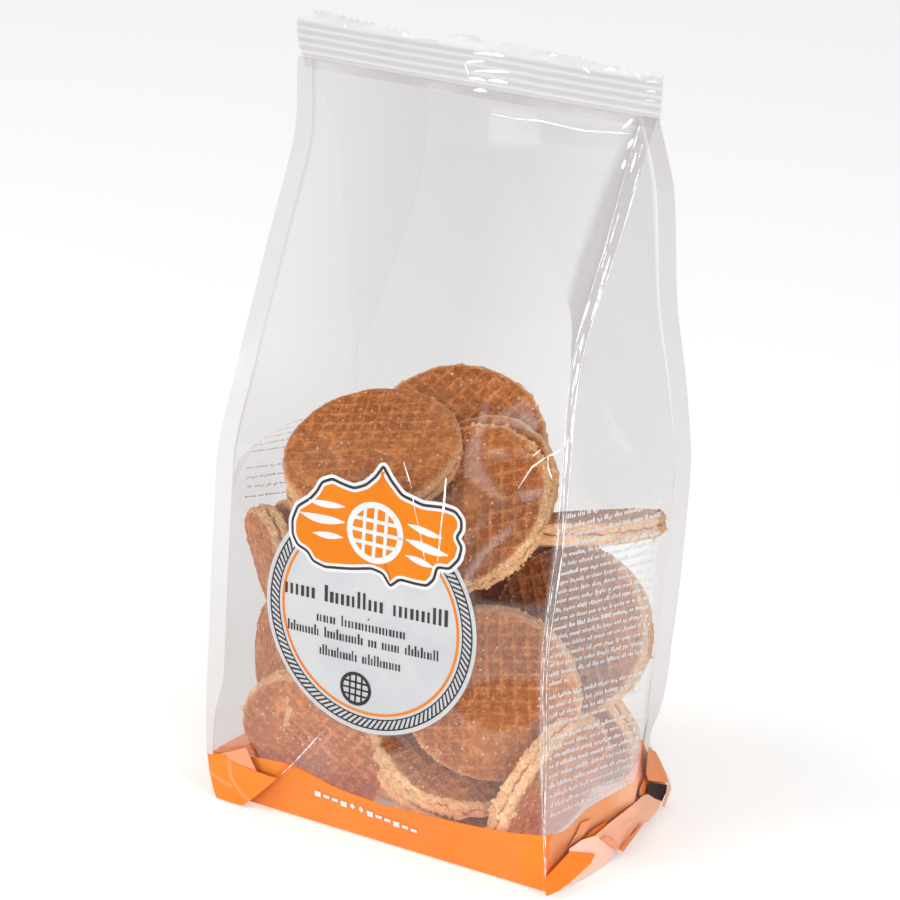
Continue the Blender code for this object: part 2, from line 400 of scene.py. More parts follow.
def make_mottle():
    """Soft cloudy unevenness from 0 to 1."""
    group, given, result = group_nodes("mottle", (("Vector", "NodeSocketVector", None),
                                                  ("Scale", "NodeSocketFloat", 50.0)),
                                       (("Amount", "NodeSocketFloat"),))
    cloud = node(group, "ShaderNodeTexNoise", {"Vector": given.outputs[0], "Scale": given.outputs[1],
                                               "Detail": 5.0, "Roughness": 0.6})
    group.links.new(stretch(group, cloud.outputs[0], 0.32, 0.68), result.inputs[0])
    return group


def make_grain():
    """Fine grain: a value and a height."""
    group, given, result = group_nodes("fine_grain", (("Vector", "NodeSocketVector", None),
                                                      ("Scale", "NodeSocketFloat", 900.0)),
                                       (("Amount", "NodeSocketFloat"), ("Height", "NodeSocketFloat")))
    grain = node(group, "ShaderNodeTexNoise", {"Vector": given.outputs[0], "Scale": given.outputs[1],
                                               "Detail": 4.0, "Roughness": 0.68})
    group.links.new(stretch(group, grain.outputs[0], 0.40, 0.62), result.inputs[0])
    group.links.new(grain.outputs[0], result.inputs[1])
    return group


def use_group(tree, group, **inputs):
    made = tree.nodes.new("ShaderNodeGroup")
    made.node_tree = group
    for key, value in inputs.items():
        if isinstance(value, bpy.types.NodeSocket):
            tree.links.new(value, made.inputs[key])
        else:
            made.inputs[key].default_value = value
    return made


def object_place(tree):
    return node(tree, "ShaderNodeTexCoord").outputs["Object"]


def point_marks(tree):
    """The three marks stored at each point."""
    marks = node(tree, "ShaderNodeAttribute", attribute_name="marks")
    return node(tree, "ShaderNodeSeparateColor", {0: marks.outputs["Color"]}).outputs


# Patches of the lower front where the gloss is cut away, painting dark gaps into its reflection of the pale floor: left
# end, right end, and the lower and upper edges as constant, slope and curve along x, in millimetres
CLEAR_PATCHES = (
    (19.8, 56.0, (82.57, -2.24, 0.0334), (27.69, 1.518, -0.0164)),
    (41.5, 47.6, (360.5, -14.85, 0.1701), (-323.6, 16.01, -0.1762)),
)


def curve_value(tree, x, terms):
    inner = maths(tree, "MULTIPLY_ADD", x, terms[2], terms[1])
    return maths(tree, "MULTIPLY_ADD", inner, x, terms[0])


def clear_patches(tree, place):
    """One inside the clear patches of the lower front, else zero."""
    parts = node(tree, "ShaderNodeSeparateXYZ", {0: place})
    x = maths(tree, "MULTIPLY", parts.outputs[0], 1000.0)
    z = maths(tree, "MULTIPLY", parts.outputs[2], 1000.0)
    front = maths(tree, "LESS_THAN", parts.outputs[1], -0.02)
    total = 0.0
    for left, right, lower, upper in CLEAR_PATCHES:
        above = stretch(tree, maths(tree, "SUBTRACT", z, curve_value(tree, x, lower)), -0.15, 0.35)
        below = stretch(tree, maths(tree, "SUBTRACT", curve_value(tree, x, upper), z), -0.15, 0.35)
        inside = maths(tree, "MULTIPLY", above, below)
        inside = maths(tree, "MULTIPLY", inside, maths(tree, "GREATER_THAN", x, left))
        inside = maths(tree, "MULTIPLY", inside, maths(tree, "LESS_THAN", x, right))
        total = maths(tree, "ADD", total, inside, clamp=True)
    return maths(tree, "MULTIPLY", total, front)


def clear_film(name, mottle, grain, haze=0.005, shade=(0.765, 0.748, 0.752, 1.0), patches=False):
    """Clear film: mostly see-through, with gloss that grows at low angles and a thin whitish bloom: a faint haze of its
    own plus a painted veil of reflection.
    Its marks hold gloss (1 is four times the usual), the painted veil and how much the film dims what is behind.
    It lets nearly all light through to what lies inside."""
    material, tree, out = new_material(name)
    place = object_place(tree)
    gloss, painted_veil, dim = point_marks(tree)[:3]
    path = node(tree, "ShaderNodeLightPath")
    passing = maths(tree, "MAXIMUM", path.outputs["Is Shadow Ray"], path.outputs["Is Diffuse Ray"])
    looking = maths(tree, "MULTIPLY_ADD", passing, -0.85, 1.0)
    cloud = use_group(tree, mottle, Vector=place, Scale=38.0).outputs[0]
    bloom = maths(tree, "MULTIPLY_ADD", cloud, haze, haze * 0.5)
    bloom = maths(tree, "ADD", bloom, painted_veil, clamp=True)
    bloom = maths(tree, "MULTIPLY", bloom, looking)
    fine = use_group(tree, grain, Vector=place, Scale=260.0)
    bump = node(tree, "ShaderNodeBump", {"Height": fine.outputs[1], "Strength": 0.02, "Distance": 0.002})
    see = mix_colour(tree, maths(tree, "MULTIPLY", dim, looking), (0.995, 0.995, 0.995, 1.0), shade)
    clear = node(tree, "ShaderNodeBsdfTransparent", {"Color": see})
    # whitish layer: the film's faint haze plus the painted veil of reflection
    milk = node(tree, "ShaderNodeBsdfPrincipled", {"Base Color": (0.80, 0.79, 0.78, 1), "Roughness": 0.45,
                                                   "Specular IOR Level": 0.3, "Normal": bump.outputs[0]})
    shine = node(tree, "ShaderNodeBsdfPrincipled", {"Base Color": (0.98, 0.98, 0.98, 1), "Metallic": 1.0,
                                                    "Roughness": 0.06, "Normal": bump.outputs[0]})
    body = node(tree, "ShaderNodeMixShader", {0: bloom, 1: clear.outputs[0], 2: milk.outputs[0]})
    angle = node(tree, "ShaderNodeLayerWeight", {"Blend": 0.5, "Normal": bump.outputs[0]})
    amount = maths(tree, "POWER", angle.outputs["Facing"], 5.0)
    amount = maths(tree, "MULTIPLY_ADD", amount, 0.6, 0.05)
    amount = maths(tree, "MULTIPLY", amount, maths(tree, "MULTIPLY", gloss, 4.0), clamp=True)
    amount = maths(tree, "MULTIPLY", amount, looking)
    # painted reflection: gloss is cut away inside the clear patches
    if patches:
        amount = maths(tree, "MULTIPLY", amount, maths(tree, "MULTIPLY_ADD", clear_patches(tree, place), -0.9, 1.0))
    film = node(tree, "ShaderNodeMixShader", {0: amount, 1: body.outputs[0], 2: shine.outputs[0]})
    tree.links.new(film.outputs[0], out.inputs[0])
    return material


def print_ink(name, mottle, grain, light, dark, roughness=0.45, coat=0.05, shaded=None, painted_inner_glow=False):
    """Ink on glossy film, with the slight unevenness of a print. Marks may pull it towards a shaded tone, and its back
    faces may glow as painted light seen through the ink.
    """
    material, tree, out = new_material(name)
    place = object_place(tree)
    share = use_group(tree, mottle, Vector=place, Scale=55.0).outputs[0]
    tone = mix_colour(tree, share, (*light, 1.0), (*dark, 1.0))
    if shaded:
        tone = mix_colour(tree, point_marks(tree)[0], tone, (*shaded, 1.0))
        tone = mix_colour(tree, point_marks(tree)[2], tone, (0.93, 0.20, 0.002, 1.0))
        tone = mix_colour(tree, point_marks(tree)[1], tone, (0.90, 0.55, 0.42, 1.0))
    fine = use_group(tree, grain, Vector=place, Scale=900.0)
    bump = node(tree, "ShaderNodeBump", {"Height": fine.outputs[1], "Strength": 0.05, "Distance": 0.001})
    inside = {}
    if painted_inner_glow:
        # painted light: back faces glow salmon, as if light shone through the ink
        behind = node(tree, "ShaderNodeNewGeometry").outputs["Backfacing"]
        inside = {"Emission Color": (0.95, 0.42, 0.24, 1),
                  "Emission Strength": maths(tree, "MULTIPLY", behind, 0.65)}
    ink = node(tree, "ShaderNodeBsdfPrincipled", {**inside, "Base Color": tone, "Roughness": roughness,
                                                  "Specular IOR Level": 0.2, "Coat Weight": coat,
                                                  "Coat Roughness": 0.06, "Normal": bump.outputs[0]})
    tree.links.new(ink.outputs[0], out.inputs[0])
    return material


def painted_highlight_line(name, mottle):
    """A painted highlight: the thin bright line of a sharp crease in clear film, with a faint glow of its own."""
    material, tree, out = new_material(name)
    share = use_group(tree, mottle, Vector=object_place(tree), Scale=420.0).outputs[0]
    clear = node(tree, "ShaderNodeBsdfTransparent", {"Color": (1, 1, 1, 1)})
    # painted highlight: near-white with a slight glow, mixed in patches over see-through film
    light = node(tree, "ShaderNodeBsdfPrincipled", {"Base Color": (0.95, 0.95, 0.95, 1), "Roughness": 0.25,
                                                    "Emission Color": (1, 1, 1, 1), "Emission Strength": 0.25})
    amount = maths(tree, "MULTIPLY_ADD", share, 0.75, 0.15)
    line = node(tree, "ShaderNodeMixShader", {0: amount, 1: clear.outputs[0], 2: light.outputs[0]})
    tree.links.new(line.outputs[0], out.inputs[0])
    return material


def waffle_crust(name, mottle, grain):
    """Baked waffle: brown ridges and cells, with painted shade in the cells and a painted highlight on the ridges, a
    pale crumbly cut edge that glows a little as painted light, and small sugar specks.
    """
    material, tree, out = new_material(name)
    place = object_place(tree)
    pale, cell, tone = point_marks(tree)[:3]
    broad = use_group(tree, mottle, Vector=place, Scale=110.0).outputs[0]
    fine = use_group(tree, grain, Vector=place, Scale=1450.0)
    coarse = use_group(tree, grain, Vector=place, Scale=330.0).outputs[0]
    dots = node(tree, "ShaderNodeTexVoronoi", {"Vector": place, "Scale": 520.0, "Randomness": 1.0})
    speck = stretch(tree, dots.outputs["Distance"], 0.30, 0.16)
    chosen = node(tree, "ShaderNodeSeparateColor", {0: dots.outputs["Color"]})
    speck = maths(tree, "MULTIPLY", speck, stretch(tree, chosen.outputs[0], 0.68, 0.86))
    shade = maths(tree, "MULTIPLY_ADD", broad, 0.45, maths(tree, "MULTIPLY", tone, 0.55))
    crust = mix_colour(tree, shade, (0.57, 0.128, 0.020, 1), (1.0, 0.335, 0.088, 1))
    # painted shade: darker in the recessed cells and along the middle seam of the rim
    crust = mix_colour(tree, maths(tree, "MULTIPLY", cell, 0.66), crust, (0.40, 0.080, 0.008, 1))
    # painted highlight: lighter on the ridges between the cells
    ridge = maths(tree, "MULTIPLY", stretch(tree, cell, 0.5, 0.0), 0.34)
    crust = mix_colour(tree, ridge, crust, (1.0, 0.44, 0.15, 1))
    crust = mix_colour(tree, maths(tree, "MULTIPLY", fine.outputs[0], 0.52), crust, (1.0, 0.47, 0.17, 1))
    crust = mix_colour(tree, maths(tree, "MULTIPLY", coarse, 0.44), crust, (0.28, 0.052, 0.006, 1))
    cut = mix_colour(tree, fine.outputs[0], (0.90, 0.42, 0.17, 1), (1.0, 0.74, 0.46, 1))
    cut = mix_colour(tree, maths(tree, "MULTIPLY", coarse, 0.35), cut, (0.58, 0.20, 0.05, 1))
    edge = stretch(tree, maths(tree, "MULTIPLY_ADD", coarse, 0.35, pale), 0.42, 0.95)
    colour = mix_colour(tree, edge, crust, cut)
    colour = mix_colour(tree, maths(tree, "MULTIPLY", speck, 0.85), colour, (1.0, 0.78, 0.56, 1))
    height = maths(tree, "MULTIPLY_ADD", speck, 0.5, maths(tree, "MULTIPLY_ADD", coarse, 0.8, fine.outputs[1]))
    bump = node(tree, "ShaderNodeBump", {"Height": height, "Strength": 0.9, "Distance": 0.0010})
    # painted light: the pale cut edge and the crumbs glow a little
    bake = node(tree, "ShaderNodeBsdfPrincipled", {
        "Base Color": colour, "Roughness": maths(tree, "MULTIPLY_ADD", fine.outputs[0], 0.25, 0.48),
        "Specular IOR Level": 0.2, "Emission Color": (1.0, 0.60, 0.30, 1),
        "Emission Strength": stretch(tree, pale, 0.5, 1.5, 0.0, 0.30), "Normal": bump.outputs[0]})
    tree.links.new(bake.outputs[0], out.inputs[0])
    return material


# ---------------------------------------------------------------- film

def set_marks(thing, values):
    """Colour marks at each point, read by the finishes."""
    layer = thing.data.attributes.new("marks", "FLOAT_COLOR", "POINT")
    flat = np.ones((len(thing.data.vertices), 4), np.float32)
    flat[:, :values.shape[1]] = values
    layer.data.foreach_set("color", flat.ravel())


FILM_ROWS = 1.25
FRONT_COLUMNS = 84
BACK_COLUMNS = 52
GUSSET_COLUMNS = 26


def make_film(material):
    """The bag's clear walls with their four corner fins."""
    z = np.arange(0.6, BODY_TOP + 0.01, FILM_ROWS)
    sheet = Sheet()
    strips = []
    for panel in PANELS:
        columns = {"front": FRONT_COLUMNS, "back": BACK_COLUMNS}.get(panel, GUSSET_COLUMNS)
        t, height = np.meshgrid(np.linspace(0, 1, columns + 1)[:-1], z)
        strips.append(wall(panel, t, height))
    body = np.concatenate(strips, 1)
    sheet.grid(body, close_columns=True)
    base = body[:1]
    centre = base.mean(axis=1, keepdims=True)
    inner = np.concatenate([base, base * 0.5 + centre * 0.5, base * 0.02 + centre * 0.98])
    sheet.grid(inner, close_columns=True, flip=True)
    for name in CORNERS:
        root, tip = corner(name, z)
        out = (tip - root) / np.linalg.norm(tip - root, axis=-1)[:, None]
        across = np.stack([-out[:, 1], out[:, 0]], -1)
        wave = rough(np.stack([z, z * 0, z * 0], -1), 17.0, 91 + len(name)) * 0.5
        loop = []
        for share, half in ((0.0, 0.16), (0.34, 0.2), (0.4, 0.14), (0.7, 0.14), (1.0, 0.1),
                            (1.0, -0.1), (0.7, -0.14), (0.4, -0.14), (0.34, -0.2), (0.0, -0.16)):
            side = root + (tip - root) * share + across * (half + wave * share)[:, None]
            loop.append(np.concatenate([side, z[:, None]], -1))
        sheet.grid(np.stack(loop, 1), close_columns=True)
    thing = sheet.finish("film", material, sharp=40)
    places = np.concatenate(sheet.points)
    set_marks(thing, film_marks(places, len(body) * body.shape[1], body.shape[1]))
    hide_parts("bag")
    return thing


# Gloss, painted veil of reflection (bloom) and dimming of each panel, low and high up
PANEL_MARKS = {
    "front": ((0.34, 0.012, 1.0), (0.08, 0.0, 1.0)),
    "right_front": ((0.36, 0.05, 1.0), (0.06, 0.01, 1.0)),
    "right_rear": ((0.04, 0.01, 1.0), (0.04, 0.0, 1.0)),
    "back": ((0.02, 0.0, 0.06), (0.02, 0.0, 0.04)),
    "left_rear": ((0.05, 0.01, 0.5), (0.0, 0.0, 0.02)),
    "left_front": ((0.05, 0.01, 0.5), (0.0, 0.0, 0.02)),
}
# Patches of painted reflection, where a panel is duller or clearer: panel, change of gloss, painted veil (bloom) and
# dimming, outline
FILM_PATCHES = (
    ("front", -0.04, 0.0, 0.05, ((-8.7, 204.0), (-0.5, 184.0), (9.4, 161.3), (23.4, 159.9), (49.0, 166.0),
                                 (52.0, 204.0))),
    ("front", 0.0, 0.11, 0.0, ((23.8, 140.2), (21.9, 135.6), (20.5, 130.6), (19.2, 124.6), (19.3, 119.1),
                               (21.7, 116.5), (26.6, 114.5), (31.9, 113.2), (33.2, 114.1), (28.7, 117.5),
                               (25.1, 121.2), (23.9, 124.6), (23.7, 128.8), (24.3, 133.8))),
    ("front", 0.0, 0.10, 0.0, ((24.6, 132.4), (27.8, 136.6), (34.1, 142.1), (38.0, 140.7), (30.4, 135.2),
                               (26.3, 132.0))),
    ("front", 0.0, 0.14, 0.0, ((29.6, 134.3), (34.0, 137.5), (37.2, 139.8), (40.5, 137.0), (39.5, 132.9),
                               (34.7, 133.4))),
    ("front", 0.0, 0.12, 0.0, ((36.6, 116.9), (40.9, 118.2), (44.2, 120.1), (44.5, 116.9), (41.0, 115.2),
                               (37.6, 114.8))),
    ("front", 0.0, 0.09, 0.0, ((24.5, 124.6), (27.0, 126.9), (30.8, 127.4), (33.5, 126.0), (32.3, 124.6),
                               (27.6, 124.0))),
    ("front", 0.0, 0.14, 0.0, ((23.2, 90.3), (28.4, 99.4), (33.4, 104.9), (37.8, 108.6), (35.6, 103.9),
                               (29.7, 97.4), (24.8, 88.0), (23.8, 86.5))),
    ("front", 0.0, 0.07, 0.0, ((21.8, 99.0), (25.0, 104.5), (29.8, 110.0), (34.1, 113.6), (30.2, 108.7),
                               (25.8, 103.0), (22.9, 98.1))),
    ("front", 0.0, 0.08, 0.0, ((32.9, 129.4), (36.7, 129.0), (41.1, 127.4), (36.9, 125.4))),
    ("front", 0.0, 0.07, -0.2, ((6.0, 214.5), (20.0, 215.5), (24.0, 207.0), (8.0, 205.0))),
    ("front", 0.0, 0.00, 0.14, ((8.2, 213.5), (22.3, 214.0), (49.9, 215.8), (46.0, 210.0), (25.3, 207.6))),
    ("front", -0.4, 0.0, 0.0, ((23.3, 92.1), (30.7, 91.6), (37.5, 95.3), (45.3, 99.9), (48.1, 94.9), (48.9, 87.1),
                               (40.8, 84.8), (33.3, 83.9), (27.6, 82.9))),
    ("front", -0.4, 0.0, 0.0, ((-3.4, 33.0), (3.3, 34.8), (7.4, 34.4), (5.8, 31.2), (1.3, 29.8))),
    ("front", 0.10, 0.02, 0.0, ((-33.0, 13.0), (-19.2, 31.2), (-16.0, 28.0), (-12.0, 20.0), (-20.0, 14.0))),
    ("right_front", 0.0, 0.0, 0.12, ((10.9, 140.7), (21.6, 142.1), (25.5, 137.0), (25.0, 129.7), (16.6, 126.0),
                                     (9.5, 126.5), (5.3, 131.5))),
    ("right_front", 0.08, 0.05, -0.15, ((22.5, 141.5), (28.6, 133.0), (32.5, 123.6), (28.0, 123.0), (21.0, 130.6))),
    ("right_front", 0.05, 0.04, 0.0, ((0.0, 112.0), (4.0, 60.0), (6.5, 24.0), (3.0, 22.0), (0.0, 30.0))),
)


def inside_outline(x, z, outline):
    """Whether points lie inside a closed outline."""
    found = np.zeros(x.shape, bool)
    for (x0, z0), (x1, z1) in zip(outline, outline[1:] + outline[:1]):
        crosses = (z0 > z) != (z1 > z)
        at = (x1 - x0) * (z - z0) / np.where(z1 == z0, 1e-9, z1 - z0) + x0
        found ^= crosses & (x < at)
    return found


def film_marks(places, body_count, row_length):
    """Gloss, painted veil of reflection (bloom) and dimming at each point of the film."""
    marks = np.tile([[0.10, 0.02, 0.35]], (len(places), 1))
    rear_fin = (places[:, 1] > SEAL_DEPTH) & (np.arange(len(places)) >= body_count)
    marks[rear_fin & (places[:, 0] < 0)] = (0.02, 0.0, 0.03)
    marks[rear_fin & (places[:, 0] > 0)] = (0.10, 0.01, 0.55)
    start = 0
    for panel in PANELS:
        columns = {"front": FRONT_COLUMNS, "back": BACK_COLUMNS}.get(panel, GUSSET_COLUMNS)
        rows = body_count // row_length
        index = (np.arange(rows)[:, None] * row_length + start + np.arange(columns)[None]).ravel()
        start += columns
        x, y, z = places[index].T
        low, high = (np.array(value) for value in PANEL_MARKS[panel])
        share = np.clip((z - 80.0) / 22.0, 0, 1)
        if panel.startswith("right"):
            share = np.clip((z - 112.0) / 16.0, 0, 1)
        marks[index] = low + (high - low) * share[:, None]
        root = corner("front_left" if panel == "front" else "front_right", z)[0]
        across = x if panel == "front" else np.hypot(x - root[:, 0], y - root[:, 1])
        if panel == "front":
            lowest = np.clip((44.0 - z) / 20.0, 0, 1)
            marks[index, 0] += 0.15 * lowest * np.clip((30.0 - x) / 30.0, 0.2, 1)
            aside = np.clip((np.abs(x + 2.0) - 14.0) / 30.0, 0, 1)
            marks[index, 2] -= (0.06 + 0.36 * aside) * np.clip((z - 112.0) / 30.0, 0, 1)
            # painted light: the film dims less where waffles fill the bag behind it, so they show brighter
            filled = np.clip((112.0 - z) / 12.0, 0, 1) * np.clip((48.0 - np.abs(x - 6.0)) / 8.0, 0, 1)
            marks[index, 2] -= 0.45 * filled
        if panel.startswith("right"):
            past = (x - root[:, 0]) * 0.82 + (y - root[:, 1]) * 0.57
            seen = np.clip(past / 2.5 + 0.5, 0, 1)
            marks[index, 2] *= 0.02 + 0.98 * seen
            marks[index, 0] *= seen
            if panel == "right_front":
                # painted veil: a whitish sheen on the lower right gusset, standing in for reflected light
                painted_veil = 0.14 * np.clip((118.0 - z) / 10.0, 0, 1) + 0.24 * np.clip((40.0 - z) / 22.0, 0, 1)
                marks[index, 1] += painted_veil * seen * (0.7 + 0.5 * np.clip(across / 38.0, 0, 1))
                # painted light: less dimming in front of the waffles behind the right gusset
                marks[index, 2] -= 0.5 * seen * np.clip((108.0 - z) / 10.0, 0, 1) * np.clip((36.0 - across) / 6.0, 0, 1)
        for name, gloss, bloom, dim, outline in FILM_PATCHES:
            if name == panel:
                inside = inside_outline(across, z, outline)
                depth = near_line(across, z, outline + outline[:1])
                amount = np.where(inside, np.clip(depth / 1.0 + 0.35, 0, 1), np.clip(0.35 - depth / 1.6, 0, 0.35))
                marks[index] += amount[:, None] * [[gloss, bloom, dim]]
    return np.maximum(marks, 0.0)


def make_seal(material):
    """The pinched seal across the top: two bonded sheets with cross ribs and a cut, toothed edge."""
    columns = TOOTH_COUNT * 8
    x = np.linspace(SEAL_LEFT, SEAL_RIGHT, columns + 1)
    picker = np.random.default_rng(7)
    size = picker.uniform(0.55, 1.15, TOOTH_COUNT + 1)
    lean = picker.uniform(0.35, 0.65, TOOTH_COUNT + 1)
    place = (x - SEAL_LEFT) / (SEAL_RIGHT - SEAL_LEFT) * TOOTH_COUNT
    number = np.clip(place.astype(int), 0, TOOTH_COUNT)
    part = place - number
    saw = np.where(part < lean[number], part / lean[number], (1 - part) / (1 - lean[number]))
    top = follow(TOP_EDGE, x) - TOOTH_HEIGHT * 1.1 * (1 - saw) * size[number] * follow(TOOTHED, x)
    share = np.linspace(0, 1, 70)
    grid_x, grid_s = np.meshgrid(x, share)
    bottom = SEAL_BOTTOM - 1.0
    grid_z = bottom + (top - bottom)[None, :] * grid_s
    inward = follow(((216, 3.4), (219, 2.6), (223, 1.0), (227, 0.3), (234, 0.0)), grid_z)
    grid_x = np.maximum(grid_x, SEAL_LEFT + inward)
    band = np.clip((grid_z - bottom - 2.0) / 1.5, 0, 1) * np.clip((SEAL_TEETH + 0.6 - grid_z) / 1.0, 0, 1)
    shift = rough(np.stack([grid_x, grid_z * 0.2, grid_x * 0], -1), 40.0, 305) * 0.5
    ribs = 0.34 * np.sin(np.pi * (grid_z + shift) / 2.25) ** 2 * band
    wave = rough(np.stack([grid_x, grid_z * 0.3, grid_x * 0], -1), 26.0, 301) * 0.7
    wave += rough(np.stack([grid_x, grid_z, grid_x * 0], -1), 7.0, 302) * 0.22
    sheet = Sheet()
    for side in (-1, 1):
        y = SEAL_DEPTH + wave * np.clip(grid_s * 2, 0, 1) + side * (0.25 + ribs)
        sheet.grid(np.stack([grid_x, y, grid_z], -1), flip=side > 0)
    thing = sheet.finish("seal", material, sharp=60)
    # painted highlight and shade along the ribs: more gloss on each crest, more dimming between them
    line = np.cos(2 * np.pi * (grid_z + shift) / 2.25) * 0.5 + 0.5
    gloss = 0.2 + 0.5 * line * band
    dim = 0.42 + 0.3 * (1 - line) * band
    marks = np.stack([gloss, 0.01 + 0 * gloss, dim], -1).reshape(-1, 3)
    set_marks(thing, np.concatenate([marks, marks * [0.5, 1.0, 0.9]]))
    return thing


def bead(sheet, points, width, step=0.9):
    """A thin flat strip through space points, tapered to its ends, turned to the front."""
    points = np.array(points, float)
    reach = np.concatenate([[0], np.cumsum(np.linalg.norm(np.diff(points, axis=0), axis=1))])
    at = np.linspace(0, reach[-1], max(int(reach[-1] / step), 4) + 1)
    path = np.stack([np.interp(at, reach, points[:, k]) for k in range(3)], -1)
    way = np.gradient(path, axis=0)
    way /= np.linalg.norm(way, axis=1)[:, None]
    side = np.cross(way, [0.45, -0.85, 0.25])
    side /= np.linalg.norm(side, axis=1)[:, None]
    half = width / 2 * np.sqrt(np.clip(np.sin(np.pi * (np.arange(len(at)) + 0.5) / len(at)), 0.02, 1))
    sheet.grid(np.stack([path - side * half[:, None], path + side * half[:, None]], 1))


# Painted highlights on bright creases of the front, as points at x and z, then width
FRONT_GLINTS = (
    (((14.3, 115.9), (14.8, 106.8), (14.7, 98.1), (14.4, 91.6)), 0.75),
    (((4.6, 108.6), (8.1, 99.4), (10.4, 90.7)), 0.5),
    (((44.4, 128.3), (46.0, 129.0), (47.5, 130.5)), 0.5),
    (((44.4, 128.3), (40.4, 124.6), (37.0, 117.8)), 0.4),
    (((44.4, 128.3), (45.0, 125.0), (46.4, 122.5)), 0.45),
    (((42.1, 129.6), (40.0, 127.4)), 0.35),
    (((0.5, 117.6), (2.4, 114.0), (4.2, 110.5)), 0.35),
    (((-33.0, 13.4), (-29.5, 17.4), (-25.0, 23.2), (-21.6, 28.0), (-19.2, 31.2)), 0.3),
    (((7.5, 213.2), (14.0, 213.0), (22.3, 213.6), (36.0, 213.2), (49.9, 214.6)), 0.4),
)
# Lens-shaped painted highlights on the seal: ends at x and z, then width
SEAL_GLINTS = (
    ((0.2, 229.0), (9.8, 229.6), 0.9), ((-2.2, 226.0), (3.5, 227.2), 0.8), ((-2.4, 225.4), (-1.0, 222.4), 0.35),
    ((0.5, 224.0), (11.5, 225.3), 0.7), ((-1.2, 221.8), (4.4, 222.0), 0.7), ((5.2, 222.2), (11.2, 222.4), 0.9),
    ((0.8, 218.7), (4.9, 219.0), 0.9), ((23.2, 231.6), (25.8, 232.2), 0.6), ((34.0, 230.0), (36.0, 229.0), 0.5),
    ((40.2, 230.4), (43.6, 231.0), 0.8), ((50.2, 231.0), (51.4, 229.0), 0.45), ((-41.8, 230.6), (-40.8, 229.8), 0.4),
    ((-22.6, 230.6), (-21.4, 231.0), 0.5), ((53.2, 229.2), (56.8, 229.5), 0.3), ((53.4, 226.6), (56.6, 226.8), 0.3),
    ((53.0, 224.0), (56.2, 224.2), 0.25),
)


def make_glints(material):
    """Painted highlights: bright lines on sharp creases, on the seal and down the front right corner."""
    sheet = Sheet()
    for line, width in FRONT_GLINTS:
        flat = np.array(line)
        bead(sheet, on_front(flat[:, 0], flat[:, 1], 0.45), width)
    for (x0, z0), (x1, z1), width in SEAL_GLINTS:
        x = np.linspace(x0, x1, 8)
        z = np.linspace(z0, z1, 8) + 0.25 * np.sin(np.linspace(0, np.pi, 8))
        bead(sheet, np.stack([x, np.full(8, SEAL_DEPTH - 1.75), z], -1), width, 0.4)
    sheet.finish("painted_crease_highlights", material)
    sheet = Sheet()
    picker = np.random.default_rng(17)
    z = 2.0
    while z < 216:
        long = picker.uniform(3.0, 11.0)
        heights = np.linspace(z, min(z + long, 217.0), 8)
        root, tip = corner("front_right", heights)
        share = picker.uniform(0.05, 0.95)
        path = np.concatenate([root + (tip - root) * share, heights[:, None]], 1) + [0.25, -0.45, 0]
        width = picker.uniform(0.12, 0.26) if z < 120 else picker.choice((0.2, 0.35, 0.6))
        bead(sheet, path, width)
        z += long * picker.uniform(0.35, 0.8)
    for share in (0.02, 0.98):
        heights = np.linspace(1.0, 216.0, 130)
        root, tip = corner("front_right", heights)
        path = np.concatenate([root + (tip - root) * share, heights[:, None]], 1) + [0.2, -0.35, 0]
        bead(sheet, path, 0.15, 1.6)
    for (x, z, long, turn) in ((48.6, 217.0, 3.4, 50), (50.4, 212.0, 3.0, 70), (49.8, 206.5, 2.6, 80)):
        half = long / 2 * np.array([math.cos(math.radians(turn)), math.sin(math.radians(turn))])
        flat = np.array([(x, z) - half, (x, z), (x, z) + half])
        bead(sheet, on_front(flat[:, 0], flat[:, 1], 0.6), 0.9, 0.3)
    sheet.finish("painted_corner_highlights", material)


# ---------------------------------------------------------------- waffles

GRID_PITCH = 3.95


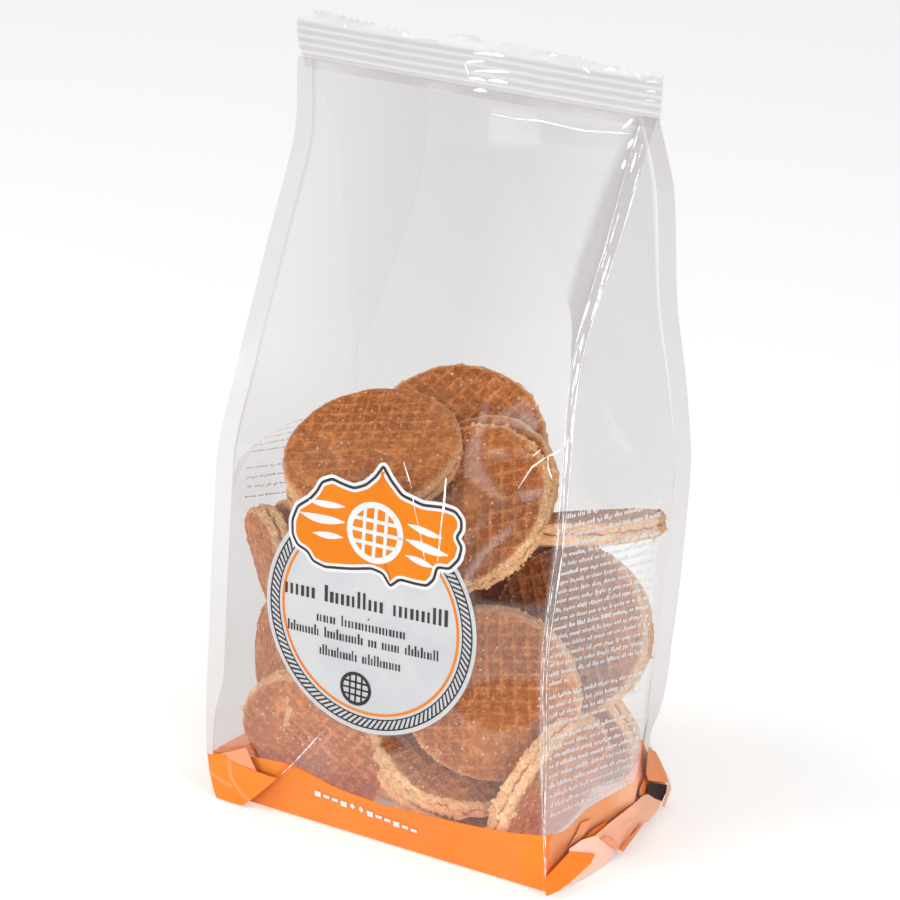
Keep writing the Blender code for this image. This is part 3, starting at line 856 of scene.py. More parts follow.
def waffle_sheet(radius, thick, rings, turns, crumble, seed, ridge_turn, relief):
    """Points of a waffle lying flat at the origin, with its colour marks."""
    angle = np.linspace(0, 2 * np.pi, turns, endpoint=False)
    rim = np.stack([np.cos(angle), np.sin(angle), angle * 0], -1)
    reach = radius * (1 + 0.018 * rough(rim * 25, 30.0, seed) + 0.010 * rough(rim * 25, 9.0, seed + 1))
    reach += crumble * 0.55 * rough(rim * 25, 2.4, seed + 2, 2)
    share = np.concatenate([np.linspace(0.01, 0.93, rings - 5), (0.95, 0.967, 0.982, 0.993, 1.0)])
    turn_c, turn_s = math.cos(ridge_turn), math.sin(ridge_turn)

    def face(side):
        r = share[:, None] * reach[None, :]
        x, y = r * np.cos(angle), r * np.sin(angle)
        u = (x * turn_c + y * turn_s) / GRID_PITCH + 0.13 * side
        v = (y * turn_c - x * turn_s) / GRID_PITCH + 0.31
        place = np.stack([x, y, x * 0 + side * 40.0], -1)
        u = u + 0.05 * rough(place, 12.0, seed + 3)
        v = v + 0.05 * rough(place, 12.0, seed + 4)
        edge_u = np.abs(u % 1.0 - 0.5) * 2
        edge_v = np.abs(v % 1.0 - 0.5) * 2
        line = np.maximum(edge_u, edge_v)
        ridge = np.clip((line - 0.66) / 0.2, 0, 1)
        ridge = ridge * ridge * (3 - 2 * ridge)
        wear = np.clip(0.75 + 0.75 * rough(place, 14.0, seed + 5), 0.15, 1.0)
        inset = np.clip((1.0 - share)[:, None] * radius / 1.6, 0, 1)
        wear = wear * inset * relief
        drop = 0.58 * (1 - ridge) * wear
        drop = drop + (1 - inset) ** 2 * 0.75
        drop = drop - 0.22 * rough(place, 9.0, seed + 6) - 0.16 * rough(place, 1.3, seed + 7)
        z = side * (thick / 2 - drop)
        pale = np.clip(1.0 - (1.0 - share)[:, None] * radius / 1.5, 0, 1) * 0.8
        pale = pale + 0.28 * np.clip(rough(place, 2.6, seed + 8, 2) - 0.25, 0, 1)
        # cell mark: how deep a cell lies, which the crust turns into painted shade
        cell = (1 - ridge) * wear
        return np.stack([x, y, z], -1), pale, cell

    top, top_pale, top_cell = face(1)
    low, low_pale, low_cell = face(-1)
    rows = 11
    s = np.linspace(0, 1, rows + 2)[1:-1, None]
    join = top[-1][None] * (1 - s[..., None]) + low[-1][None] * s[..., None]
    belly = 0.35 * np.sin(np.pi * s) - 0.75 * np.exp(-((s - 0.5) / 0.07) ** 2)
    crumb = rough(join, 2.1, seed + 9, 2) * 0.75 * crumble + rough(join, 0.8, seed + 10) * 0.3 * crumble
    out = (belly + crumb)[..., None] * rim[None]
    out[..., 2] += rough(join, 1.7, seed + 11) * 0.35 * crumble * np.sin(np.pi * s)
    side_pale = 1.0 - 0.9 * np.exp(-((s - 0.5) / 0.06) ** 2) * (0.4 + 0.6 * (rough(join, 5.0, seed + 12) > -0.2))
    points = np.concatenate([top, join + out, low[::-1]])
    pale = np.concatenate([top_pale, side_pale, low_pale[::-1]])
    cell = np.concatenate([top_cell, np.exp(-((s - 0.5) / 0.06) ** 2) + 0 * side_pale, low_cell[::-1]])
    # paleness above 1 makes the cut edge glow more in the crust: painted light
    pale = pale * np.clip(0.62 + 0.42 * crumble, 0, 1.45)
    warp = 0.55 * (points[..., 0] ** 2 - points[..., 1] ** 2) / radius ** 2
    warp += 0.5 * rough(points * [1, 1, 0], 22.0, seed + 13)
    points[..., 2] += warp
    return points, pale, cell


def add_waffle(name, centre, facing, spin, radius, thick, detail, crumble, ridge_turn, relief, tone, seed, material):
    """One waffle, set at its place with its face turned to facing."""
    rings, turns = {2: (44, 236), 1: (26, 130), 0: (18, 84)}[detail]
    points, pale, cell = waffle_sheet(radius, thick, rings, turns, crumble, seed, ridge_turn, relief)
    facing = Vector(facing).normalized()
    turn = facing.to_track_quat("Z", "Y").to_matrix() @ Matrix.Rotation(math.radians(spin), 3, "Z")
    turned = points.reshape(-1, 3) @ np.array(turn).T + np.array(centre)
    turned[:, 2] = np.maximum(turned[:, 2], 1.1)
    sheet = Sheet()
    sheet.grid(turned.reshape(points.shape), close_columns=True, flip=True)
    count = len(points)
    turns_used = points.shape[1]
    for row, order in ((0, 1), (count - 1, -1)):
        ring = [row * turns_used + k for k in range(turns_used)]
        sheet.faces.append(ring[::order])
    thing = sheet.finish(name, material)
    set_marks(thing, np.stack([pale.ravel(), cell.ravel(), np.full(pale.size, tone)], -1))
    return thing


# Waffles that show: centre, facing, spin, radius, thickness, detail, crumble, ridge turn, relief and paleness (the
# crust's own tone, set low on waffles that lie in shade as painted shade)
WAFFLES = (
    ((-23.1, -12.5, 107.4), (-0.015, -0.455, 0.891), 0, 26.3, 6.8, 2, 0.7, 0.35, 0.85, 0.62),
    ((-8.2, 10.7, 107.1), (0.217, -0.638, 0.739), 20, 26.4, 7.0, 2, 1.1, 0.60, 0.95, 0.30),
    ((9.5, -11.3, 98.6), (-0.130, -0.778, 0.614), 0, 25.2, 7.0, 2, 1.2, 0.50, 1.00, 0.25),
    ((7.8, -4.1, 99.9), (-0.122, -0.770, 0.627), 0, 24.4, 6.2, 1, 1.0, 0.20, 1.00, 0.30),
    ((34.3, 9.5, 91.8), (-0.217, 0.206, 0.954), 0, 24.2, 7.0, 2, 1.2, 0.10, 0.80, 0.80),
    ((23.6, -18.6, 46.2), (0.334, -0.931, 0.144), 0, 25.7, 7.4, 2, 0.7, 0.12, 1.00, 0.50),
    ((33.6, 11.5, 58.1), (-0.072, -0.939, 0.337), 10, 25.0, 7.4, 2, 0.8, 0.30, 1.00, 0.35),
    ((41.7, -15.0, 20.2), (0.948, -0.127, -0.293), 0, 23.5, 7.4, 2, 1.7, 0.20, 0.70, 0.70),
    ((10.0, -11.5, 24.3), (0.306, -0.288, 0.907), 0, 25.5, 7.0, 2, 2.0, 0.40, 1.00, 0.25),
    ((11.0, -9.6, 15.7), (0.333, -0.270, 0.903), 0, 25.5, 7.0, 2, 1.4, 0.70, 1.00, 0.30),
    ((-30.2, -25.1, 19.0), (-0.012, -0.959, -0.283), 0, 24.4, 7.0, 2, 1.1, 0.90, 0.65, 0.20),
    ((-48.1, -17.6, 62.6), (-0.612, -0.735, -0.292), 0, 24.5, 6.6, 2, 1.0, 0.20, 0.80, 0.30),
    ((-47.5, -6.3, 60.5), (-0.592, -0.782, -0.195), 0, 24.5, 7.0, 1, 0.9, 0.50, 1.00, 0.10),
    ((-49.9, -14.5, 34.0), (-0.707, -0.707, 0.028), 0, 22.0, 7.0, 1, 0.9, 0.80, 1.00, 0.20),
)
# Waffles behind them, in short stacks: centre of the first, facing, slide from one to the next, count
STACKS = (
    ((-12.1, 8.8, 4.4), (0.0, 0.0, 1.0), (-5.2, 1.7, 0.0), 2),
    ((-39.4, 10.5, 17.5), (-0.52, 0.0, 0.855), (0.3, -4.8, 0.0), 2),
    ((27.6, 21.8, 23.8), (-0.05, -0.88, -0.47), (0.0, 0.0, 0.0), 1),
    ((-11.2, -4.4, 39.4), (0.03, -0.19, 0.98), (1.2, 3.0, 0.0), 2),
    ((-11.6, 29.4, 38.3), (0.01, -1.0, -0.05), (0.0, 0.0, 0.0), 1),
    ((-42.4, 9.9, 55.7), (0.82, 0.5, -0.29), (0.0, 0.0, 0.0), 1),
    ((-21.7, 9.5, 80.2), (0.06, -0.04, 1.0), (-12.3, -5.0, 0.0), 2),
    ((7.0, 0.5, 12.9), (0.34, -0.27, 0.90), (0.0, 0.0, 0.0), 1),
    ((16.0, 22.5, 60.0), (0.1, -0.98, 0.15), (0.0, 0.0, 0.0), 1),
)
STACK_PITCH = 7.3


def all_waffles():
    """The waffles that show, then those of the stacks."""
    rows = list(WAFFLES)
    for first, facing, slide, count in STACKS:
        step = np.array(Vector(facing).normalized()) * STACK_PITCH + slide
        for place in range(count):
            turned = 0.3 * (len(rows) - len(WAFFLES))
            rows.append((np.array(first) + step * place, facing, 123 * turned, 24.8, 7.4, 0, 0.9, turned, 1.0, 0.3))
    return rows


def make_waffles(material):
    """All waffles, with crumbs stuck to their edges and faces."""
    picker = np.random.default_rng(77)
    corners = np.array([(1, 0, 0), (-1, 0, 0), (0, 1, 0), (0, -1, 0), (0, 0, 1), (0, 0, -1)], float)
    faces = ((0, 2, 4), (2, 1, 4), (1, 3, 4), (3, 0, 4), (2, 0, 5), (1, 2, 5), (3, 1, 5), (0, 3, 5))
    crumbs, joins = [], []
    for number, row in enumerate(all_waffles(), 1):
        thing = add_waffle(f"waffle_{number:02d}", *row, 100 + number * 17, material)
        detail, crumble = row[5:7]
        if detail < 2:
            continue
        count = len(thing.data.vertices)
        places = np.empty(count * 3, np.float32)
        thing.data.vertices.foreach_get("co", places)
        places = places.reshape(-1, 3) * 1000
        shade = np.empty(count * 4, np.float32)
        thing.data.attributes["marks"].data.foreach_get("color", shade)
        pale = shade.reshape(-1, 4)[:, 0]
        rim = places[pale > 0.62]
        face = places[pale < 0.5]
        for group, amount, low, high in ((rim, int(110 * crumble ** 1.6), 0.3, 0.7 + 0.25 * crumble),
                                         (rim, 160, 0.15, 0.45), (face, int(40 * crumble), 0.15, 0.5)):
            for spot in group[picker.integers(0, len(group), amount)]:
                size = picker.uniform(low, high) * (1 if picker.random() < 0.9 else 1.5)
                bump = corners * picker.uniform(0.5, 1.3, (6, 1)) * size + picker.normal(0, 0.14, (6, 3)) * size
                base = len(crumbs) * 6
                crumbs.append(spot + bump)
                joins += [tuple(base + k for k in face_corners) for face_corners in faces]
    points = np.concatenate(crumbs)
    points[:, 2] = np.maximum(points[:, 2], 1.0)
    thing = add_piece("crumbs", points, joins, material, smooth=False)
    set_marks(thing, np.tile([[1.0, 0.0, 0.6]], (len(points), 1)))


# ---------------------------------------------------------------- print

LABEL_AT = (-6.5, 69.0)
LABEL_TURN = math.radians(3.0)


def on_label(a, b, lift):
    """Points of the round label on the front, a across and b up from its middle."""
    a, b = np.asarray(a, float), np.asarray(b, float)
    x = LABEL_AT[0] + a * math.cos(LABEL_TURN) - b * math.sin(LABEL_TURN)
    z = LABEL_AT[1] + a * math.sin(LABEL_TURN) + b * math.cos(LABEL_TURN)
    return on_front(x, z, lift)


def ring(sheet, inner, outer, lift, steps=180, rows=2, middle=(0.0, 0.0)):
    """A ring on the label; inner and outer are radii, as numbers or one for each step."""
    angle = np.linspace(0, 2 * np.pi, steps, endpoint=False)
    inner = np.broadcast_to(inner, angle.shape)
    outer = np.broadcast_to(outer, angle.shape)
    share = np.linspace(0, 1, rows)[:, None]
    radius = inner + (outer - inner) * share
    sheet.grid(on_label(middle[0] + radius * np.cos(angle), middle[1] + radius * np.sin(angle), lift),
               close_columns=True)


# Outline of the plaque on the front, as x and z
PLAQUE = ((-5.4, 115.5), (-2.4, 111.8), (1.5, 108.3), (8.2, 106.9), (14.4, 107.6), (18.6, 107.3), (20.9, 105.2),
          (21.2, 102.2), (19.8, 99.9), (21.8, 97.4), (21.1, 93.5), (18.3, 90.0), (14.5, 89.7), (13.8, 85.9),
          (11.6, 83.4), (7.9, 83.2), (2.8, 83.3), (-0.1, 80.5), (-2.8, 83.9), (-6.3, 84.5), (-13.6, 82.7),
          (-21.9, 81.3), (-26.1, 82.2), (-28.0, 84.6), (-31.7, 85.8), (-33.6, 88.6), (-34.0, 93.0),
          (-32.4, 97.6), (-28.3, 100.8), (-26.2, 103.4), (-24.7, 106.6), (-21.2, 108.4), (-17.5, 107.7),
          (-13.7, 107.3), (-10.2, 109.0), (-7.5, 111.8))
PLAQUE_MIDDLE = (-6.0, 95.5)


def plaque_edge(grow, count=300):
    """The plaque's outline, grown or shrunk."""
    loop = np.array(PLAQUE + PLAQUE[:1])
    reach = np.concatenate([[0], np.cumsum(np.hypot(*np.diff(loop, axis=0).T))])
    at = np.linspace(0, reach[-1], count, endpoint=False)
    edge = np.stack([np.interp(at, reach, loop[:, k]) for k in range(2)], -1)
    for _ in range(3):
        edge = 0.5 * edge + 0.25 * (np.roll(edge, 1, 0) + np.roll(edge, -1, 0))
    way = np.roll(edge, -2, 0) - np.roll(edge, 2, 0)
    way /= np.linalg.norm(way, axis=1)[:, None]
    return edge + np.stack([-way[:, 1], way[:, 0]], -1) * grow


def word_row(sheet, start, end, height, words, seed):
    """A row of plain upright ticks in groups, in place of words."""
    picker = np.random.default_rng(seed)
    start, end = np.array(start), np.array(end)
    way = (end - start) / np.linalg.norm(end - start)
    up = np.array([-way[1], way[0]])
    total = sum(words) + 0.9 * (len(words) - 1)
    pitch = np.linalg.norm(end - start) / total / 1.6
    at = 0.0
    for letters in words:
        for _ in range(int(round(letters * 1.6))):
            tall = height * (1.0 if picker.random() < 0.16 else 0.66)
            base = start + way * at * pitch - up * height * 0.34
            wide = way * pitch * picker.uniform(0.42, 0.66)
            corners = np.array([[base, base + wide], [base + up * tall, base + wide + up * tall]])
            sheet.grid(on_front(corners[..., 0], corners[..., 1], 0.24))
            at += 1.0
        at += 1.44


def stroke(sheet, points, width, lift, taper=False, step=1.0, place=on_label):
    """A pen stroke along points, with round ends."""
    points = np.asarray(points, float)
    gaps = np.hypot(*np.diff(points, axis=0).T)
    run = np.concatenate([[0], np.cumsum(gaps)])
    count = max(4, int(run[-1] / step) + 1)
    at = np.linspace(0, run[-1], count)
    line = np.stack([np.interp(at, run, points[:, 0]), np.interp(at, run, points[:, 1])], -1)
    way = np.gradient(line, axis=0)
    way /= np.maximum(np.linalg.norm(way, axis=1), 1e-9)[:, None]
    side = np.stack([-way[:, 1], way[:, 0]], -1)
    half = np.full(count, width / 2)
    if taper:
        half = half * np.sin(np.pi * np.linspace(0.04, 0.96, count)) ** 0.6
    head = np.array([0.0, 0.6, 0.9, 1.0])
    start = [(line[0] - way[0] * (width / 2) * (1 - h), half[0] * math.sqrt(max(0.0, h * (2 - h)))) for h in head]
    end = [(line[-1] + way[-1] * (width / 2) * (1 - h), half[-1] * math.sqrt(max(0.0, h * (2 - h)))) for h in head]
    middle = np.array([p for p, _ in start[:-1]] + list(line) + [p for p, _ in end[:-1]][::-1])
    widths = np.array([w for _, w in start[:-1]] + list(half) + [w for _, w in end[:-1]][::-1])
    sides = np.concatenate([np.repeat(side[:1], 3, 0), side, np.repeat(side[-1:], 3, 0)])
    share = np.array([-1.0, 0.0, 1.0])[:, None, None]
    grid = middle[None] + sides[None] * widths[None, :, None] * share
    sheet.grid(place(grid[..., 0], grid[..., 1], lift))


def make_label(white, orange, black, plaque_white):
    """Round label with a rope edge, an orange plaque over its top and plain bars for its words."""
    sheet = Sheet()
    ring(sheet, 0.3, 34.8, 0.16, rows=26)
    sheet.finish("label_face", white)
    sheet = Sheet()
    for inner, outer in ((33.1, 33.55), (30.2, 30.6)):
        ring(sheet, inner, outer, 0.2)
    strokes = 118
    for k in range(strokes):
        start = 2 * math.pi * k / strokes
        corners = []
        for radius, turn in ((30.55, 0.070), (31.9, 0.032), (33.25, 0.0)):
            corners.append([(radius * math.cos(start + turn + wide), radius * math.sin(start + turn + wide))
                            for wide in (0.0, 0.024)])
        corners = np.array(corners)
        sheet.grid(on_label(corners[..., 0], corners[..., 1], 0.2))
    sheet.finish("label_rope", black)
    sheet = Sheet()
    ring(sheet, 28.5, 29.35, 0.2)
    sheet.finish("label_ring", orange)

    for name, grow, lift, ink in (("plaque_rim", 1.15, 0.26, plaque_white), ("plaque_line", 0.2, 0.30, black),
                                  ("plaque_gap", -0.65, 0.34, plaque_white), ("plaque_face", -1.5, 0.38, orange)):
        sheet = Sheet()
        edge = plaque_edge(grow)
        share = np.linspace(0.01, 1, 20)[:, None, None]
        spread = np.array(PLAQUE_MIDDLE) + (edge - PLAQUE_MIDDLE) * share
        sheet.grid(on_front(spread[..., 0], spread[..., 1], lift), close_columns=True)
        sheet.finish(name, ink, smooth=False)
    sheet = Sheet()
    x, z = PLAQUE_MIDDLE
    emblem(sheet, (x, z), 8.2, 0.42)
    for side, far in ((-1, 24.0), (1, 22.5)):
        for row, (length, width) in enumerate(((0.82, 2.0), (1.0, 2.6), (0.66, 2.0))):
            reach = np.linspace(11.0, 11.0 + (far - 11.0) * length, 24)
            drop = 4.6 * (1 - row) - side * 0.035 * reach + 0.7 * np.sin(reach / 4.5)
            stroke(sheet, np.stack([x + side * reach, z + drop], -1), width, 0.42, True, place=on_front)
    sheet.finish("plaque_flourish", plaque_white)

    sheet = Sheet()
    word_row(sheet, (-35.0, 72.2), (20.0, 74.6), 5.0, (4, 7, 6), 51)
    word_row(sheet, (-23.7, 65.6), (6.8, 67.0), 3.2, (4, 12), 52)
    word_row(sheet, (-33.5, 60.6), (17.9, 63.0), 3.2, (7, 8, 2, 4, 7), 53)
    word_row(sheet, (-22.2, 55.6), (4.6, 56.8), 3.2, (8, 8), 54)
    emblem(sheet, (-9.6, 46.8), 4.7, 0.24)
    sheet.finish("label_bars", black)


def emblem(sheet, middle, size, lift):
    """A small round waffle sign."""
    x, z = middle
    turn = np.linspace(0, 2 * np.pi, 40)
    stroke(sheet, np.stack([x + size * np.cos(turn), z + size * np.sin(turn)], -1), size * 0.22, lift, place=on_front)
    for offset in (-0.42 * size, 0.0, 0.42 * size):
        half = math.sqrt((0.95 * size) ** 2 - offset ** 2)
        stroke(sheet, [(x - half, z + offset), (x + half, z + offset)], size * 0.13, lift, place=on_front)
        stroke(sheet, [(x + offset, z - half), (x + offset, z + half)], size * 0.13, lift, place=on_front)


def add_small_print(name, panel, start, end, low, high, pitch, material, seed, size=1.0, lift=0.15):
    """Rows of small marks up a panel, in groups, in place of its small print."""
    picker = np.random.default_rng(seed)
    points, faces = [], []
    z = high
    row = 0
    while z > low:
        row += 1
        if picker.random() < 0.16:
            stop = start + (end - start) * picker.uniform(0.2, 0.6)
        else:
            stop = end - picker.uniform(0.0, 1.6)
        x = start
        bold = picker.random() < 0.25
        while x < stop:
            letters = picker.integers(2, 10)
            for _ in range(letters):
                wide = picker.uniform(0.26, 0.52) + (0.16 if bold else 0.0)
                tall = picker.choice((0.9, 0.9, 0.9, 1.4)) * size
                base = z - (0.4 if picker.random() < 0.1 else 0.0)
                if x + wide > stop:
                    break
                corners = ((x, base), (x + wide, base), (x + wide, base + tall), (x, base + tall))
                k = len(points)
                points += corners
                faces.append((k, k + 1, k + 2, k + 3))
                x += wide + 0.2
            x += 0.62
        z -= pitch
        if stop < end - 4 and picker.random() < 0.3:
            z -= 0.5 * pitch
    flat = np.array(points)
    add_piece(name, on_panel(panel, flat[:, 0], flat[:, 1], lift), faces, material, smooth=False)


# ---------------------------------------------------------------- base

BAND_TOP = {
    "front": ((0, 13.7), (7, 14.7), (28, 17.4), (45, 14.2), (59, 13.3), (85, 14.7), (102, 16.5), (110, 17.9)),
    "right_front": ((0, 18.0), (9, 16.5), (19, 20.2), (34, 22.0), (42, 24.5)),
    "right_rear": ((0, 24.5), (20, 20.0), (42, 18.0)),
    "back": ((0, 18.0), (60, 14.5), (112, 17.0)),
    "left_rear": ((0, 14.0), (20, 9.0), (42, 6.0)),
    "left_front": ((0, 6.0), (20, 9.5), (42, 13.7)),
}


def make_band(material):
    """The coloured band round the foot, with a painted shadow beside the corner ear and a painted highlight near the
    front right corner.
    """
    sheet = Sheet()
    strips = []
    for panel in PANELS:
        columns = {"front": FRONT_COLUMNS, "back": BACK_COLUMNS}.get(panel, GUSSET_COLUMNS)
        t = np.linspace(0, 1, columns + 1)[:-1]
        start, end = ends(panel, np.array([10.0]))
        top = follow(BAND_TOP[panel], t * np.linalg.norm(end - start))
        share = np.linspace(0, 1, 15)[:, None]
        strips.append(wall(panel, np.broadcast_to(t, (15, len(t))), 0.3 + (top - 0.3) * share, 0.14))
    points = np.concatenate(strips, 1)
    sheet.grid(points, close_columns=True)
    thing = sheet.finish("base_band", material, sharp=40)
    flat = points.reshape(-1, 3)
    x, y, z = flat.T
    # painted shadow of the corner ear, darkest right of its diagonal edge, plus a faint painted shade across the middle
    # of the front
    beside = (x + 44.8) * 0.77 - z * 0.64
    shade = np.where((y < -36) & (beside > -1), np.exp(-np.clip(beside, 0, 99) / 5.0) * 0.55, 0.0)
    shade = shade + np.where(y < -36, 0.12 * np.clip((x + 45) / 60, 0, 1) * np.clip(1 - (x - 30) / 20, 0, 1), 0)
    # painted highlight: the front band turns more vivid near the front right corner
    vivid = np.where((y < -36) & (x > 46), np.clip((x - 46) / 5, 0, 1) * 0.55, 0.0)
    pale = np.where(x > 54.5, 0.22 + 0.28 * np.clip((y + 12) / 6, 0, 1) * np.clip((z - 14) / 4, 0, 1), 0.0)
    set_marks(thing, np.stack([shade, pale, vivid], -1))


def patch(sheet, marks, outline, mark, bulge=0.0, push=(0.75, -0.6, 0.2), rings=7, count=72):
    """A filled patch from its outline in space, swollen outwards by bulge."""
    points = np.array(outline, float)
    loop = np.concatenate([points, points[:1]])
    reach = np.concatenate([[0], np.cumsum(np.linalg.norm(np.diff(loop, axis=0), axis=1))])
    at = np.unique(np.concatenate([np.linspace(0, reach[-1], count + 1)[:-1], reach[:-1]]))
    edge = np.stack([np.interp(at, reach, loop[:, k]) for k in range(3)], -1)
    centre = edge.mean(axis=0)
    share = np.linspace(1.0, 0.02, rings)[:, None, None]
    grid = centre + (edge - centre) * share
    push = np.array(push) / np.linalg.norm(push)
    grid = grid + push * bulge * (1 - share ** 2)
    grid[..., 2] = np.maximum(grid[..., 2], 0.12)
    spokes = edge - centre
    winding = np.cross(spokes, np.roll(spokes, -1, 0)).sum(axis=0) @ push
    sheet.grid(grid, close_columns=True, flip=winding > 0)
    marks.append(np.tile([mark], (grid.shape[0] * grid.shape[1], 1)))


# Folded parts at the right foot: painted shade of the folds, paleness and vividness of the ink, swelling, outline
SIDE_FOLDS = (
    (0.0, 0.26, 0.0, 0.1, ((57.3, -25.9, 14.3), (57.6, -24.2, 17.0), (58.7, -19.8, 16.6), (58.6, -19.9, 15.1),
                           (57.6, -24.0, 11.5), (56.6, -29.3, 11.2))),
    (0.80, 0.0, 0.0, 0.0, ((57.9, -24.1, 11.3), (59.1, -18.4, 13.3), (60.4, -12.4, 13.8), (60.3, -13.5, 12.1),
                           (59.3, -17.7, 9.9))),
    (0.45, 0.0, 0.3, 0.1, ((59.5, 10.1, 14.4), (55.8, 21.8, 13.4), (56.8, 22.1, 11.5), (57.9, 20.4, 10.3),
                           (59.0, 16.0, 10.0), (60.6, 8.4, 13.4))),
    (0.0, 1.35, 0.0, 0.7, ((57.8, -31.0, 11.6), (58.6, -25.2, 12.2), (59.6, -19.0, 11.3), (60.6, -13.5, 8.8),
                           (61.2, -6.5, 3.6), (61.2, -5.1, 1.5), (60.9, -14.5, 0.2), (60.4, -18.8, 0.2),
                           (60.0, -23.7, 0.2), (59.0, -29.0, 0.2), (57.6, -33.0, 2.5))),
    (0.0, 0.58, 0.0, 1.3, ((59.5, -18.7, 11.1), (61.0, -12.4, 13.1), (62.6, -6.1, 14.8), (63.2, 0.0, 15.4),
                           (61.2, 9.0, 13.4), (59.9, 15.6, 11.0), (60.2, 20.5, 7.6), (60.2, 25.9, 4.6),
                           (60.6, 20.7, 2.8), (61.4, 14.4, 3.2), (62.8, 5.5, 5.6), (63.2, -2.8, 5.2),
                           (62.1, -7.3, 2.4), (61.8, -11.5, 6.0))),
    (0.30, 0.05, 0.2, 0.1, ((62.5, -7.6, 3.2), (63.9, -3.0, 6.2), (63.9, 4.3, 7.0), (63.5, 7.0, 6.2),
                            (63.4, 1.0, 4.2), (63.0, -5.8, 1.6))),
    (0.30, 0.30, 0.2, 0.1, ((60.6, -16.9, 9.6), (61.6, -14.6, 9.9), (62.8, -10.9, 7.2), (62.9, -8.3, 4.4),
                            (62.3, -10.8, 4.9), (61.4, -13.6, 7.4))),
    (0.0, 0.0, 1.0, 0.25, ((56.2, -43.0, 6.3), (58.2, -31.4, 11.0), (60.9, -20.0, 6.3), (60.6, -22.0, 3.9),
                           (58.9, -32.3, 1.4), (57.8, -35.6, 0.3), (57.0, -38.6, 0.2), (56.6, -41.4, 0.6))),
    (0.0, 0.10, 0.3, 0.5, ((51.9, 31.1, 18.4), (52.6, 35.4, 15.2), (54.0, 36.6, 11.9), (56.0, 35.9, 9.4),
                           (57.8, 35.1, 6.4), (57.5, 27.9, 9.6), (57.7, 19.9, 13.2), (57.0, 19.6, 15.6),
                           (54.0, 26.4, 19.0))),
    (0.0, 0.55, 0.0, 0.1, ((57.9, 35.2, 6.6), (58.6, 35.6, 4.6), (59.9, 29.0, 1.4), (59.8, 26.6, 2.4),
                           (58.6, 31.8, 4.2))),
)
SHADOW_IN_FOLD_OPENING = ((57.9, 19.8, 12.7), (57.6, 27.9, 9.0), (57.8, 34.1, 6.2), (58.3, 32.7, 4.5), (58.9, 28.6, 3.0),
                (59.9, 22.3, 6.3), (60.0, 15.6, 10.8), (59.0, 17.2, 11.8))
EAR = ((-58.1, 13.7), (-57.2, 7.8), (-55.5, 2.3), (-54.5, 0.3), (-50.5, 0.2), (-46.2, 0.2), (-44.8, 0.6),
       (-40.6, 4.8), (-35.3, 10.5), (-33.6, 12.6), (-36.0, 12.5), (-44.0, 13.0), (-51.0, 14.0), (-52.0, 15.1))


def make_folds(ink, dark):
    """The tucked ends of the foot: the corner ear in front and the folds and opening at the right, with a near-black
    sheet sunk into the opening as its painted shadow.
    """
    sheet, marks = Sheet(), []
    for shade, pale, vivid, bulge, outline in SIDE_FOLDS:
        patch(sheet, marks, outline, (shade, pale, vivid), bulge)
    thing = sheet.finish("side_folds", ink)
    set_marks(thing, np.concatenate(marks))
    sheet, marks = Sheet(), []
    outline = [(x, -42.4, z) for x, z in EAR]
    patch(sheet, marks, outline, (0.0, 0.0, 0.2), 0.35, (-0.2, -1, 0), rings=26, count=150)
    x, _, z = sheet.points[0].T
    for line in (((-50.6, 14.6), (-49.4, 8.6), (-46.0, 4.6), (-41.2, 1.6)), ((-57.4, 8.0), (-52.5, 6.4), (-49.4, 5.8))):
        marks[0][:, 1] += 0.22 * np.exp(-(near_line(x, z, line) / 0.5) ** 2)
    patch(sheet, marks, [(-55.5, -42.2, 14.2), (-50.0, -42.2, 16.6), (-44.9, -42.1, 19.3), (-42.6, -42.1, 15.4),
                         (-40.8, -42.1, 12.6), (-46.0, -42.3, 13.3)], (0.35, 0.30, 0.0), 0.0, (0, -1, 0))
    thing = sheet.finish("corner_ear", ink)
    set_marks(thing, np.concatenate(marks))
    sheet, marks = Sheet(), []
    # painted shadow: a near-black sheet pushed into the opening for the shade inside the fold
    patch(sheet, marks, SHADOW_IN_FOLD_OPENING, (0, 0, 0), -0.8)
    sheet.finish("shadow_in_fold_opening", dark)


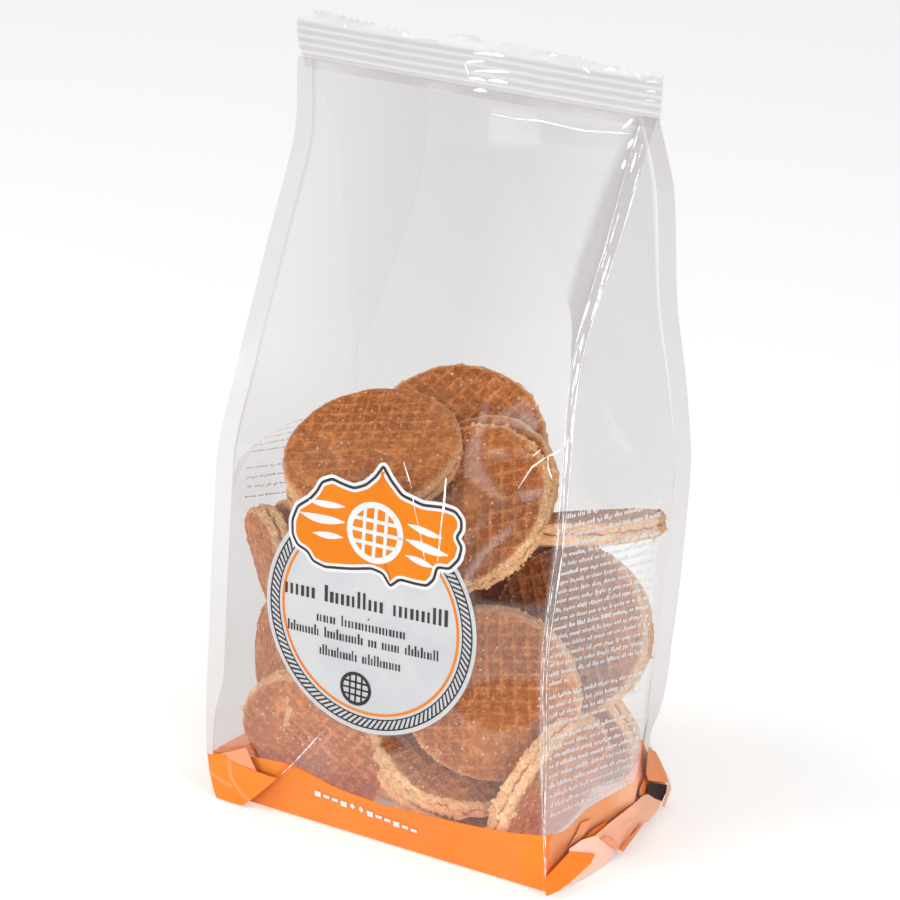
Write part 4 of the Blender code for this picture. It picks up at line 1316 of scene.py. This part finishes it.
def make_ornament(material):
    """A row of dashes and lozenges along the band."""
    sheet = Sheet()
    for number in range(12):
        x = -20.5 + number * 2.95
        z = 10.9 - 0.092 * (x + 21.5)
        if number in (4, 5):
            loop = [(x - 0.9, z), (x, z - 1.1), (x + 0.9, z), (x, z + 1.1)]
        else:
            tall = 0.75 if number % 3 else 1.3
            loop = [(x - 1.05, z - tall), (x + 1.05, z - tall), (x + 1.05, z + tall * 0.4), (x - 1.05, z + tall * 0.4)]
        flat = np.array(loop)
        points = on_front(flat[:, 0], flat[:, 1], 0.42)
        sheet.grid(np.stack([points[[0, 1]], points[[3, 2]]]))
    sheet.finish("band_ornament", material)


def main():
    place_camera()
    make_surroundings()
    mottle = make_mottle()
    grain = make_grain()
    film = clear_film("clear_film", mottle, grain, patches=True)
    sealed = clear_film("sealed_film", mottle, grain, haze=0.03)
    crust = waffle_crust("waffle_crust", mottle, grain)
    white = print_ink("label_white_ink", mottle, grain, (0.43, 0.44, 0.46), (0.47, 0.48, 0.49))
    bright = print_ink("bright_white_ink", mottle, grain, (0.63, 0.63, 0.64), (0.58, 0.58, 0.59))
    black = print_ink("black_ink", mottle, grain, (0.030, 0.022, 0.022), (0.045, 0.034, 0.034))
    orange = print_ink("orange_ink", mottle, grain, (0.61, 0.172, 0.003), (0.59, 0.155, 0.002))
    band = print_ink("orange_band_ink", mottle, grain, (0.67, 0.210, 0.036), (0.65, 0.185, 0.026),
                     shaded=(0.58, 0.10, 0.008), painted_inner_glow=True)
    folded = print_ink("orange_fold_ink", mottle, grain, (0.68, 0.200, 0.026), (0.66, 0.180, 0.020),
                       shaded=(0.58, 0.10, 0.008))
    # near-black ink for the painted shadow inside the fold opening
    fold_shadow_ink = print_ink("painted_shadow_in_fold", mottle, grain, (0.030, 0.010, 0.006), (0.02, 0.006, 0.004), 0.7, 0.0)
    painted_glint = painted_highlight_line("painted_highlight_line", mottle)
    make_film(film)
    make_seal(sealed)
    make_waffles(crust)
    make_label(white, orange, black, bright)
    make_band(band)
    make_folds(folded, fold_shadow_ink)
    make_ornament(bright)
    make_glints(painted_glint)
    add_small_print("small_print_right", "right_front", 3.0, 39.0, 20.0, 111.0, 2.76, bright, 41)
    add_small_print("small_print_left", "left_rear", 8.0, 38.0, 76.0, 106.0, 3.1, bright, 43, 0.4)


main()
